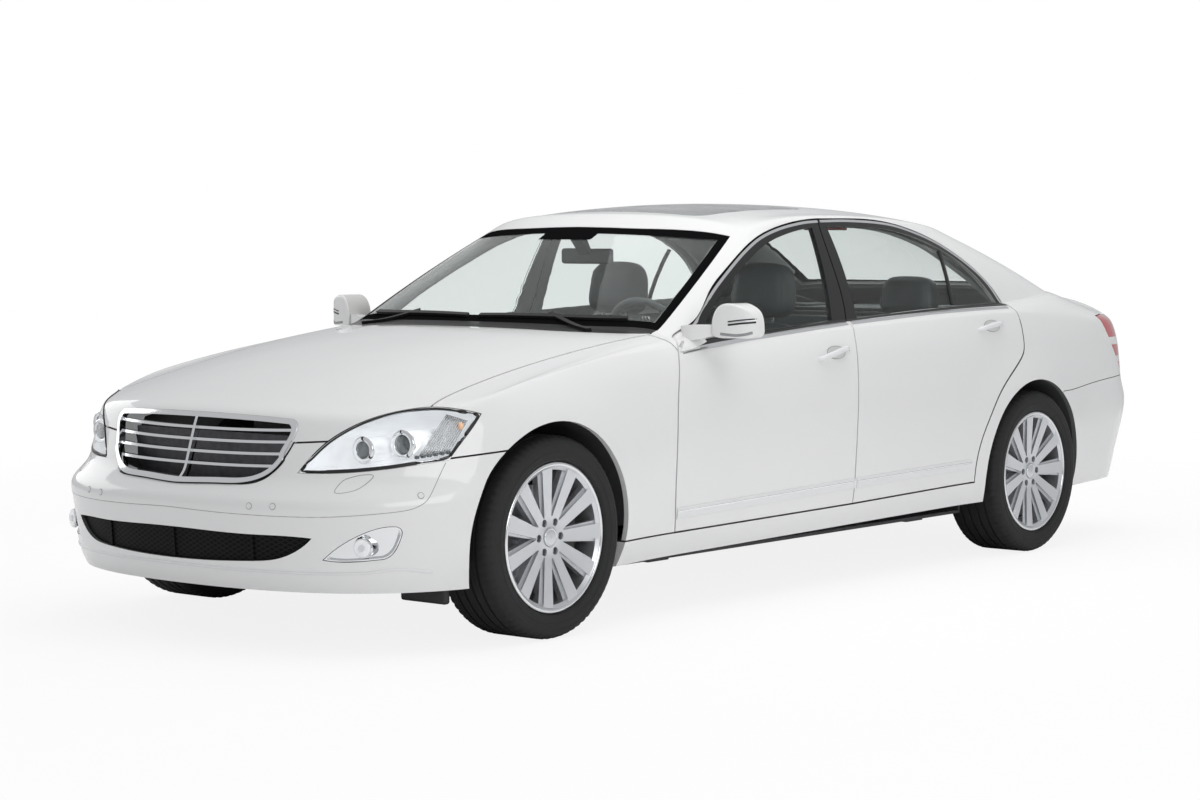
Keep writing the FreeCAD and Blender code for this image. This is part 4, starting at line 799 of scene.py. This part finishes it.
# Rear doors' quarter divider: the black bar in front of the fixed pane, on the glass.
# It guides the sliding pane and seals the fixed one.
divider = millimetres([(-1030, 706, 1296), (-1014, 730, 1215), (-1002, 765, 1130), (-994, 800, 1060)])
divider_stations = lay_on(panel_tree("rear_door_glass_left"), smooth_line(divider, 5), outward_left)
for side, flip in two_sides:
    bar = strip("quarter_divider_" + side, on_side(divider_stations, flip), .013, .005)
    fit(bar, gasket_black, "rear_door_" + side)

# Number plate holder at the rear: a blank plate in the boot lid's recess, with a bright bar over it.
# The bar hides the lid's handle and the plate's lamps.
plate_white = Finish("blank_plate", ((.70, .70, .69), (.76, .76, .75), 20), Roughness=.35)
lid_tree = panel_tree("boot_lid")
for name, z, half_wide, half, proud, finish, slot in (
        ("rear_plate", .845, .255, .052, .004, plate_white, "white_paint"),
        ("plate_bar", .925, .30, .009, .009, anodised, "grille_chrome")):
    line = [Vector((-2.7, half_wide * (t / 10 - 1), z)) for t in range(21)]
    fit(strip(name, lay_on(lid_tree, line, (-1, 0, 0)), half, proud), finish, "boot_lid")

# Door mirrors: silvered glass in the housing's rear face, a grey band at its foot, and the indicator's
# two dark slits with a bright line between, let into its front.
mirror_silver = Finish("mirror_silver", polish=(.02, 5, .02), Base_Color=(.86, .88, .88, 1), Metallic=1.0)
glass_outline = millimetres((699, y, z) for y, z in (
    (915, 1012), (918, 1058), (940, 1090), (967, 1099), (1008, 1090), (1037, 1071), (1049, 1038),
    (1051, 1006), (1042, 997), (1000, 992), (935, 994)))
slit_line = millimetres((730, y, z) for y, z in (
    (955, 1040), (980, 1043), (1005, 1046), (1030, 1048), (1052, 1050)))
band_line = millimetres((730, y, z) for y, z in (
    (925, 999), (955, 996), (990, 994), (1020, 998), (1042, 1004)))
band_grey = Finish("mirror_band", ((.26, .265, .27), (.31, .315, .32), 50), Roughness=.5)
mirror_tree = panel_tree("mirror_left")
for side, flip in turned_sides:
    glass = bmesh.new()
    face = glass.faces.new([glass.verts.new(p * flip) for p in smooth_line(glass_outline, 4, closed=True)])
    bmesh.ops.solidify(glass, geom=[face], thickness=.0025)
    bmesh.ops.recalc_face_normals(glass, faces=glass.faces[:])
    fit(finished("mirror_glass_" + side, glass, False), mirror_silver, "front_door_" + side)
    for name, line, drop, half, proud, finish, slot in (
            ("slit_low", slit_line, -.009, .0034, .0008, gasket_black, "black_plastic"),
            ("slit_high", slit_line, .003, .0024, .0008, gasket_black, "black_plastic"),
            ("slit_line", slit_line, -.002, .0014, .0014, anodised, "grille_chrome"),
            ("band", band_line, 0, .0050, .0008, band_grey, "black_plastic")):
        guide = [p + Vector((0, 0, drop)) for p in smooth_line(line, 4)]
        stations = [(place * flip, normal * flip)
                    for place, normal in lay_on(mirror_tree, guide, Vector((1, .25, 0)).normalized())]
        inlay = strip("mirror_%s_%s" % (name, side), stations, half, proud)
        fit(inlay, finish, "front_door_" + side)

# Tyres: moulded radials with four round grooves, cross-cut shoulder blocks, and raised rings on the
# sidewalls. Each is turned from its section, and its shoulder is sunk at every third step.
wheel_height = .343
axle_places = {"front": 1.691, "rear": -1.474}
half_track = .800
block_count = 72
groove_depth = .007
shoulder_sink = .0045
tread_half = .093
sidewall = [(.1067, .2545), (.112, .2562), (.1175, .2600), (.1225, .2640), (.1235, .2662), (.1240, .2700),
            (.1252, .2780), (.1262, .2860), (.1272, .2868), (.1272, .2900), (.1262, .2910), (.1262, .3010),
            (.1250, .3110), (.1256, .3118), (.1250, .3150), (.1235, .3180), (.1205, .3255), (.1165, .3305),
            (.1110, .3360), (.1030, .3398), (tread_half, .3427)]
grooves = [-.060, -.021, .021, .060]
tread_edge = [(tread_half, .3427)]
for middle in reversed(grooves):
    tread_edge += [(middle + .005, .3429), (middle + .0042, wheel_height - groove_depth),
                   (middle - .0042, wheel_height - groove_depth), (middle - .005, .3429)]
section = sidewall[:-1] + tread_edge + [(-y, r) for y, r in reversed(sidewall)]
section += [(-.1067, .2425), (.1067, .2425)]
tyre_rings = []
steps = block_count * 3
for k in range(steps):
    angle = math.tau * k / steps
    sunk = k % 3 == 0
    ring = []
    for y, r in section:
        if sunk and tread_half - .022 < abs(y) < .119 and r > .32:
            r -= shoulder_sink
        ring.append(Vector((r * math.sin(angle), y, r * math.cos(angle))))
    tyre_rings.append(ring)
for end, x in axle_places.items():
    for side, flip in two_sides:
        centre = Vector((x, flip * half_track, wheel_height))
        rows = [[p + centre for p in ring] for ring in tyre_rings]
        tyre = grid_piece("tread_tyre_%s_%s" % (end, side), rows, wrap_rows=True, wrap_columns=True)
        tyre.data.materials.append(tyre_rubber.material)
        tyre.data.set_sharp_from_angle(angle=math.radians(38))
        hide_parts("tyre_%s_%s" % (end, side))
        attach(tyre, "wheel_%s_%s" % (end, side))

# Wheels' small parts: a bright machined lip, six bolts sunk in their pockets, the valve on the barrel
# and a plain cap with a bright ring. The bolts are plated steel, the valve has a rubber foot.
bolt_steel = Finish("bolt_steel", ((.38, .38, .39), (.52, .52, .53), 90), Metallic=1.0, Roughness=.3)
bolt_circle = .056
first_bolt = math.radians(30)


def wheel_ring(name, section, centre, flip):
    """A ring about a wheel's axle, from a section of (distance outward, radius) pairs."""
    ring = spun([(r, flip * y, 0) for y, r in section], (0, 0, 0), (0, 1, 0), 96)
    bmesh.ops.translate(ring, vec=centre, verts=ring.verts[:])
    return finished(name, ring)


lip_section = [(.1135, .2405), (.1165, .2425), (.1170, .2470), (.1162, .2520), (.1145, .2535), (.1120, .2440)]
cap_section = [(.0945, .0310), (.0965, .0305), (.0975, .0285), (.0965, .0265), (.0945, .0270)]
bolt_steps = ((6, .0092, .066, .079), (24, .0115, .066, .0685), (24, .0060, .066, .0805))
stem_steps = ((.0055, -.016, .006), (.0035, .006, .018), (.0045, .016, .026))
stem_radius = .214
stem_angle = .5
stem_side, stem_drop = math.sin(stem_angle), math.cos(stem_angle)
for end, x in axle_places.items():
    for side, flip in two_sides:
        corner = "%s_%s" % (end, side)
        wheel = "wheel_" + corner
        centre = Vector((x, flip * half_track, wheel_height))
        lip = wheel_ring("rim_lip_" + corner, lip_section, centre, flip)
        fit(lip, bright_trim, wheel, 50)
        cap_ring = wheel_ring("cap_ring_" + corner, cap_section, centre, flip)
        fit(cap_ring, bright_trim, wheel, 60)
        outward = upright(centre, Vector((0, flip, 0)))
        bolts = bmesh.new()
        for k in range(6):
            a = first_bolt + math.tau * k / 6
            for sides, radius, low, high in bolt_steps:
                spot = bolt_circle * math.sin(a), bolt_circle * math.cos(a), (low + high) / 2
                add_disc(bolts, sides, radius, radius * .95, high - low, outward @ Matrix.Translation(spot))
        fit(finished("wheel_bolts_" + corner, bolts, False), bolt_steel, wheel)
        valve = bmesh.new()
        stem_at = Vector((stem_radius * stem_side, flip * .088, -stem_radius * stem_drop))
        stem_aim = Vector((-.25 * stem_side, flip * .9, .25 * stem_drop)).normalized()
        stem_turn = upright(centre + stem_at, stem_aim)
        for radius, low, high in stem_steps:
            spot = Matrix.Translation((0, 0, (low + high) / 2))
            add_disc(valve, 16, radius, radius * .92, high - low, stem_turn @ spot)
        fit(finished("valve_" + corner, valve), gasket_black, wheel, 40)

# Seats: leather covers over foam on each side's cushion, backrest and headrest. The covers are sewn in
# three lengthwise panels, so each pad is crowned between its seams and pulled in along its corners.
def pad_block(size, middle, tilt, about, crown, channels, corner, taper):
    """A foam block: a dense box with round corners, narrower at its top, swelling between its seams."""
    half = Vector(size) / 2
    block = bmesh.new()
    bmesh.ops.create_cube(block, size=2.0)
    bmesh.ops.subdivide_edges(block, edges=block.edges[:], cuts=20, use_grid_fill=True)
    lean = Matrix.Rotation(math.radians(tilt), 3, "Y")
    thin = min(range(3), key=lambda k: size[k])
    for v in block.verts:
        u = v.co.copy()
        pull = sum(abs(c) ** corner for c in u) ** (1 / corner)
        foam = Vector([u[k] / pull * half[k] for k in range(3)])
        foam.y *= 1 - taper * (1 + u.z) / 2
        if u[thin] > .9:
            wide, long = 1, 3 - thin - 1
            seam = sum(math.exp(-((u[wide] - c) / .05) ** 2) for c in channels)
            foam[thin] += crown * (1 - u[wide] ** 4) * (1 - u[long] ** 4) - .010 * seam * (1 - u[long] ** 6)
        v.co = lean @ (foam + Vector(middle) - Vector(about)) + Vector(about)
    made = bpy.data.meshes.new("foam_block")
    block.to_mesh(made)
    block.free()
    return made


seat_leather = Finish("seat_leather", Roughness=.5)
creased = seat_leather.grain(26, 4, .6)
seat_leather.wear(Base_Color=seat_leather.blend(creased, (.026, .033, .035, 1), (.042, .052, .054, 1)))
seat_leather.relief(seat_leather.grain(520, 2) * .3 + creased, .0003)
panel_seams = (-.52, .52)
front_blocks = [((.58, .52, .15), (.25, 0, .405), -6, (.28, 0, .40), .016, panel_seams, 9, 0),
                ((.15, .54, .64), (-.035, 0, .70), -17, (-.03, 0, .42), .014, panel_seams, 7, .20),
                ((.12, .29, .22), (-.25, 0, 1.125), -6, (-.25, 0, 1.10), .008, (), 3.6, .16)]
bench_seams = (-.62, -.34, .34, .62)
rest_seams = (-.66, -.30, .30, .66)
rear_blocks = [((.59, 1.38, .135), (-.765, 0, .413), 0, (0, 0, 0), .018, bench_seams, 12, 0),
               ((.17, 1.26, .61), (-1.15, 0, .705), -12, (-1.09, 0, .42), .016, rest_seams, 9, .06)]
rear_rest = ((.11, .28, .17), (-1.28, 0, 1.083), -8, (-1.28, 0, 1.05), .008, (), 3.8, .14)


def upholstered(name, blocks, middle_y):
    shape = bmesh.new()
    for block in blocks:
        shape.from_mesh(pad_block(*block))
    bmesh.ops.translate(shape, vec=(0, middle_y, 0), verts=shape.verts[:])
    bmesh.ops.recalc_face_normals(shape, faces=shape.faces[:])
    seat = finished(name, shape)
    seat.data.materials.append(seat_leather.material)
    seat.modifiers.new("soft", "SUBSURF").levels = 1
    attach(seat, "body")
    return seat


front_pads = [upholstered("front_seat_pads_" + side, front_blocks, y)
              for side, y in (("left", .375), ("right", -.375))]
rear_pads = [upholstered("rear_seat_pads", rear_blocks, 0)]
for side, y in (("left", .40), ("right", -.40)):
    rear_pads.append(upholstered("rear_headrest_" + side, [rear_rest], y))
for seat in front_pads:
    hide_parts("front_seats")
for seat in rear_pads:
    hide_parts("rear_seat")

# Seat frames and posts: dark plastic plinths on their rails, seat side covers and two chromed posts
# under each headrest. The rails are bolted to the floor.
for side, y in (("left", .375), ("right", -.375)):
    plinth = ((.40, .40, .12), (.27, y, .27))
    runners = [((.50, .03, .03), (.26, y + reach, .217)) for reach in (-.17, .17)]
    covers = [((.34, .03, .10), (.20, y + reach, .37)) for reach in (.262, -.262)]
    base = rounded_boxes([plinth] + runners + covers, .008)
    fit(finished("front_seat_base_" + side, base), black_plastic, "body")
    for k, (x, across, low, high) in enumerate(((-.225, y, .96, 1.10), (-1.262, y / .375 * .40, .985, 1.03))):
        posts = bmesh.new()
        for reach in (-.06, .06):
            spot = Matrix.Translation((x, across + reach, (low + high) / 2))
            add_disc(posts, 16, .006, .006, high - low, spot)
        fit(finished("headrest_posts_%d_%s" % (k, side), posts), bright_trim, "body")

# Dashboard: a wood strip across its face, four round vents, the centre screen and dials, and the
# console with its selector plate and lid. Skins of soft plastic on a moulded carrier.
wood = Finish("wood_veneer", Roughness=.25, Coat_Weight=.9)
flow = wood.node("TexWave", {"wave_type": "BANDS", "bands_direction": "Z"},
                 {"Vector": wood.place(), "Scale": 22.0, "Distortion": 9.0, "Detail": 3.0}, "Fac")
wood.wear(Base_Color=wood.blend(flow, (.055, .025, .012, 1), (.17, .085, .04, 1)))
screen_glass = Finish("display_glass", ((.008, .009, .011), (.014, .015, .018), 6),
                      Roughness=.08, Coat_Weight=1.0)
dash_tree = panel_tree("dashboard")
toward_seats = Vector((-1, 0, .15)).normalized()
dash_from = .60
dash_half = .66
for name, z, half, proud, finish in (("dash_wood", .846, .022, .004, wood),
                                     ("dash_line", .876, .003, .003, anodised)):
    line = [Vector((dash_from, dash_half * (t / 20 - 1), z)) for t in range(41)]
    fit(strip(name, lay_on(dash_tree, line, toward_seats), half, proud), finish, "body")
vents = ((.62, .905, .036), (.085, .925, .034), (-.085, .925, .034), (-.62, .905, .036))
for k, (y, z, radius) in enumerate(vents):
    place, normal = lay_on(dash_tree, [Vector((dash_from, y, z))], toward_seats)[0]
    vent = bmesh.new()
    bmesh.ops.create_cone(vent, cap_ends=False, segments=36, radius1=radius, radius2=radius * .92, depth=.014)
    bmesh.ops.solidify(vent, geom=vent.faces[:], thickness=.004)
    for step in (-.018, -.006, .006, .018):
        add_box(vent, (.0016, radius * 1.7, .008), (step, 0, -.001))
    vent.transform(upright(place, normal))
    fit(finished("dash_vent_%d" % k, vent, False), anodised, "body")
display_lean = math.radians(-12)
for name, middle, size in (("dial_display", (.705, .37, .985), (.010, .30, .085)),
                           ("centre_display", (.735, 0, .985), (.010, .24, .085)),
                           ("dial_hood", (.745, .37, 1.005), (.10, .36, .055)),
                           ("centre_hood", (.775, 0, 1.0), (.10, .30, .055))):
    cube = rounded_boxes([(size, (0, 0, 0))], .004, 3)
    cube.transform(Matrix.Translation(middle) @ Matrix.Rotation(display_lean, 4, "Y"))
    fit(finished(name, cube), screen_glass if "display" in name else trim_grey, "body")
console_parts = rounded_boxes([((.26, .16, .012), (.74, 0, .566)), ((.36, .19, .05), (.20, 0, .515)),
                               ((.02, .06, .09), (.56, 0, .54))], .005, 3)
fit(finished("console_parts", console_parts), wood, "body")

# Steering wheel's face: a padded bare boss and two rows of thumb buttons with bright caps.
# They are pressed into the hub and turn with the wheel.
column = math.radians(24)
wheel_axis = Vector((-math.cos(column), 0, math.sin(column)))
wheel_turn = upright((.48, .37, .932), wheel_axis)
boss = bmesh.new()
bmesh.ops.create_uvsphere(boss, u_segments=32, v_segments=16, radius=.074)
bmesh.ops.scale(boss, vec=(1, 1, .34), verts=boss.verts[:])
boss.transform(wheel_turn @ Matrix.Translation((0, 0, .008)))
fit(finished("wheel_boss", boss), trim_grey, "steering_wheel", 60)
thumb = rounded_boxes([((.012, .026, .008), (row, sideways, .012))
                       for sideways in (-.100, .100) for row in (-.012, .004, .020)], .002)
thumb.transform(wheel_turn)
fit(finished("thumb_buttons", thumb), anodised, "steering_wheel")

# Door trims: on each door's inner face a wood strip, a padded armrest, a bright pull and a pocket.
# They are clipped to the inner panel and swing with the door.
trims = (("wood", .845, .020, .004, wood, "trim_grey"),
         ("armrest", .700, .034, .042, seat_leather, "seat_leather"),
         ("pull", .792, .007, .020, anodised, "grille_chrome"),
         ("pocket", .420, .060, .022, trim_grey, "trim_grey"))
for end, x0, x1 in (("front", -.05, .85), ("rear", -.98, -.22)):
    for side, flip in two_sides:
        door = "%s_door_%s" % (end, side)
        tree = panel_tree(door)
        inward = Vector((0, -flip, 0))
        for part, z, half, proud, finish, slot in trims:
            guide = [Vector((x0 + (x1 - x0) * t / 16, flip * .60, z)) for t in range(17)]
            stations = lay_on(tree, guide, inward, .05)
            if len(stations) > 8:
                fit(strip("%s_%s_trim_%s" % (end, part, side), stations, half, proud), finish, door)

# Cabin lining: cloth glued on moulded board, one roof liner with the closed blind of the glass roof and,
# on each side, a liner along the pillars and over the doors. They clip to the shell from inside.
lining_cloth = Finish("lining_cloth", ((.24, .255, .25), (.29, .30, .295), 8), relief=(650, 3, .0002),
                      Roughness=.9)
roof_crest = smooth_line(millimetres([
    (352, 0, 1392), (300, 0, 1400), (100, 0, 1425), (-200, 0, 1440), (-500, 0, 1435), (-800, 0, 1425),
    (-1000, 0, 1410), (-1200, 0, 1386)]), 4)
liner_half = .56
roof_fall = .046
roof_rows = []
for crest in roof_crest:
    shares = [k / 12 - 1 for k in range(25)]
    pull_back = .10 if crest.x > .29 else 0
    roof_rows.append([crest + Vector((-pull_back * abs(t) ** 2, t * liner_half, -roof_fall * abs(t) ** 2.3))
                      for t in shares])
fit(grid_piece("roof_liner", roof_rows), lining_cloth, "body", 60)
liner_swell = Vector((0, -.8, -.6)) * .014
liner_hem = Vector((0, 0, .012))
liner_lip = Vector((0, .016, .004))
liner_upper = smooth_line(millimetres([
    (895, 700, 1015), (790, 684, 1078), (650, 658, 1152), (520, 628, 1224), (385, 592, 1300),
    (230, 560, 1352), (65, 545, 1382), (-89, 540, 1395), (-300, 535, 1400), (-500, 535, 1398),
    (-700, 535, 1393), (-850, 535, 1385), (-1010, 535, 1368), (-1130, 525, 1352), (-1310, 468, 1335),
    (-1550, 508, 1258), (-1790, 556, 1163)]), 4)
liner_lower = smooth_line(millimetres([
    (860, 775, 966), (775, 741, 1007), (623, 700, 1110), (480, 667, 1190), (337, 639, 1262),
    (206, 622, 1316), (65, 612, 1351), (-89, 606, 1373), (-300, 605, 1381), (-500, 603, 1380),
    (-669, 603, 1371), (-844, 611, 1343), (-1027, 631, 1290), (-1170, 655, 1222), (-1290, 690, 1150),
    (-1385, 742, 1068), (-1500, 748, 1058)]), 4)
for side, flip in turned_sides:
    rows = []
    for high, low in zip(liner_upper, liner_lower):
        row = (high + liner_hem, high, high.lerp(low, .3) + liner_swell * .8,
               high.lerp(low, .7) + liner_swell, low + liner_swell * .4, low, low + liner_lip)
        rows.append([p * flip for p in row])
    fit(grid_piece("side_liner_" + side, rows), lining_cloth, "body", 60)
    visor = grid_piece("sun_visor_" + side, [
        [Vector((.33 - .17 * u, .14 + .36 * t, 1.372 + .045 * u - .030 * t * t)) * flip
         for t in (k / 10 for k in range(11))] for u in (j / 5 for j in range(6))])
    visor.modifiers.new("thickness", "SOLIDIFY").thickness = .012
    fit(visor, lining_cloth, "body", 60)

# Parcel shelf behind the bench: the cloth-covered board with a loudspeaker grille at each side. The high
# brake lamp hangs at the roof liner's rear edge and shines through the rear window.
shelf = rounded_boxes([((.50, 1.06, .016), (-1.62, 0, 1.018)), ((.20, .20, .012), (-1.55, .36, 1.030)),
                       ((.20, .20, .012), (-1.55, -.36, 1.030))], .005)
fit(finished("parcel_shelf", shelf), trim_grey, "body")
brake_lamp = rounded_boxes([((.020, .22, .014), (-1.225, 0, 1.370))], .004)
fit(finished("high_brake_lamp", brake_lamp), tail_red, "body")

# Rear bumper's small parts: the seam of its rubbing band, four parking sensors, two red reflectors and
# the dark lower edge; chromed tips are pushed over the tail pipes. The fuel flap is on the right.
rear_tree = panel_tree("rear_bumper")
behind = -2700
rear_seam = millimetres((behind, y, z) for y, z in (
    (-780, 520), (-640, 506), (-350, 500), (0, 500), (350, 500), (640, 506), (780, 520)))
rear_lip = millimetres((behind, y, z) for y, z in (
    (-740, 268), (-350, 262), (0, 262), (350, 262), (740, 268)))
backward = Vector((-1, 0, 0))
seam("rear_band_seam", lay_on(rear_tree, smooth_line(rear_seam, 8), backward))
valance = strip("rear_valance_edge", lay_on(rear_tree, smooth_line(rear_lip, 10), backward), .010, .003)
fit(valance, black_plastic, "body")
for k, spot in enumerate(millimetres((behind, y, 545) for y in (-660, -240, 240, 660))):
    sensor("rear_sensor_%%s_%d" % k, lay_on(rear_tree, [spot], backward)[0])
tip_section = [(0, .0315), (0, .036), (-.09, .039), (-.094, .0375), (-.094, .0355), (-.088, .034)]
tip_from = -2.405
pipe_across, pipe_up = .518, .22
for side, flip in two_sides:
    line = millimetres((behind, flip * (500 + 22 * k), 352) for k in range(11))
    lens = strip("rear_reflector_" + side, lay_on(rear_tree, line, backward), .010, .003)
    fit(lens, tail_red, "body")
    bead = [(tip_from + x, flip * pipe_across, pipe_up + r) for x, r in tip_section]
    tip = spun(bead, (0, flip * pipe_across, pipe_up), (1, 0, 0), 40)
    fit(finished("tail_pipe_tip_" + side, tip), bright_trim, "body", 50)
flap_line = millimetres([(-1545, -880, 905), (-1690, -880, 915), (-1715, -880, 895), (-1712, -880, 785),
                         (-1688, -880, 765), (-1548, -880, 758), (-1525, -880, 778), (-1522, -880, 885)])
flap_stations = lay_on(panel_tree("body_shell"), smooth_line(flap_line, 6, closed=True), (0, -1, 0))
seam("fuel_flap_seam", flap_stations, .0016, closed=True)

# Engine bay: ribbed plastic cover on the engine with two bright strips and the oil cap, two intake
# ducts to the grille, fuse boxes at the bulkhead and the coolant and washer tanks by the wheel houses.
bay_black = Finish("bay_plastic", ((.016, .016, .017), (.028, .028, .03), 30), relief=(700, 2, .0001),
                   Roughness=.5)
tank_white = Finish("tank_plastic", ((.56, .55, .50), (.66, .65, .60), 12), Roughness=.4)
cap_blue = Finish("washer_cap", ((.02, .05, .22), (.03, .08, .30), 40), Roughness=.4)
ribs = [((.52, .014, .010), (1.56, y, .840)) for y in (-.24, -.20, -.16, .16, .20, .24)]
bay_parts = (
    ("engine_cover", bay_black, "black_plastic", .012,
     [((.60, .62, .036), (1.56, 0, .816)), ((.50, .20, .016), (1.56, 0, .838))] + ribs),
    ("cover_strips", anodised, "grille_chrome", .002,
     [((.46, .008, .006), (1.56, -.085, .847)), ((.46, .008, .006), (1.56, .085, .847))]),
    ("intake_ducts", bay_black, "black_plastic", .014,
     [((.36, .15, .045), (2.06, .20, .786)), ((.36, .15, .045), (2.06, -.20, .786))]),
    ("fuse_boxes", bay_black, "black_plastic", .010,
     [((.17, .24, .13), (1.22, .54, .78)), ((.15, .20, .012), (1.22, .54, .850)),
      ((.17, .24, .13), (1.22, -.54, .78)), ((.15, .20, .012), (1.22, -.54, .850))]),
    ("coolant_tank", tank_white, "grille_chrome", .016, [((.20, .14, .07), (1.56, -.50, .780))]),
    ("washer_tank", tank_white, "grille_chrome", .016, [((.16, .12, .06), (1.78, .48, .775))]))
for name, finish, slot, edge, boxes in bay_parts:
    fit(finished(name, rounded_boxes(boxes, edge, 3, clamp=True)), finish, "body")
for name, finish, x, y, z, radius in (("oil_cap", bay_black, 1.42, .27, .850, .034),
                                      ("coolant_cap", bay_black, 1.56, -.50, .825, .028),
                                      ("washer_cap", cap_blue, 1.78, .48, .815, .030)):
    cap = bmesh.new()
    add_disc(cap, 20, radius, radius * .88, .022, Matrix.Translation((x, y, z)))
    fit(finished(name, cap, False), finish, "body")
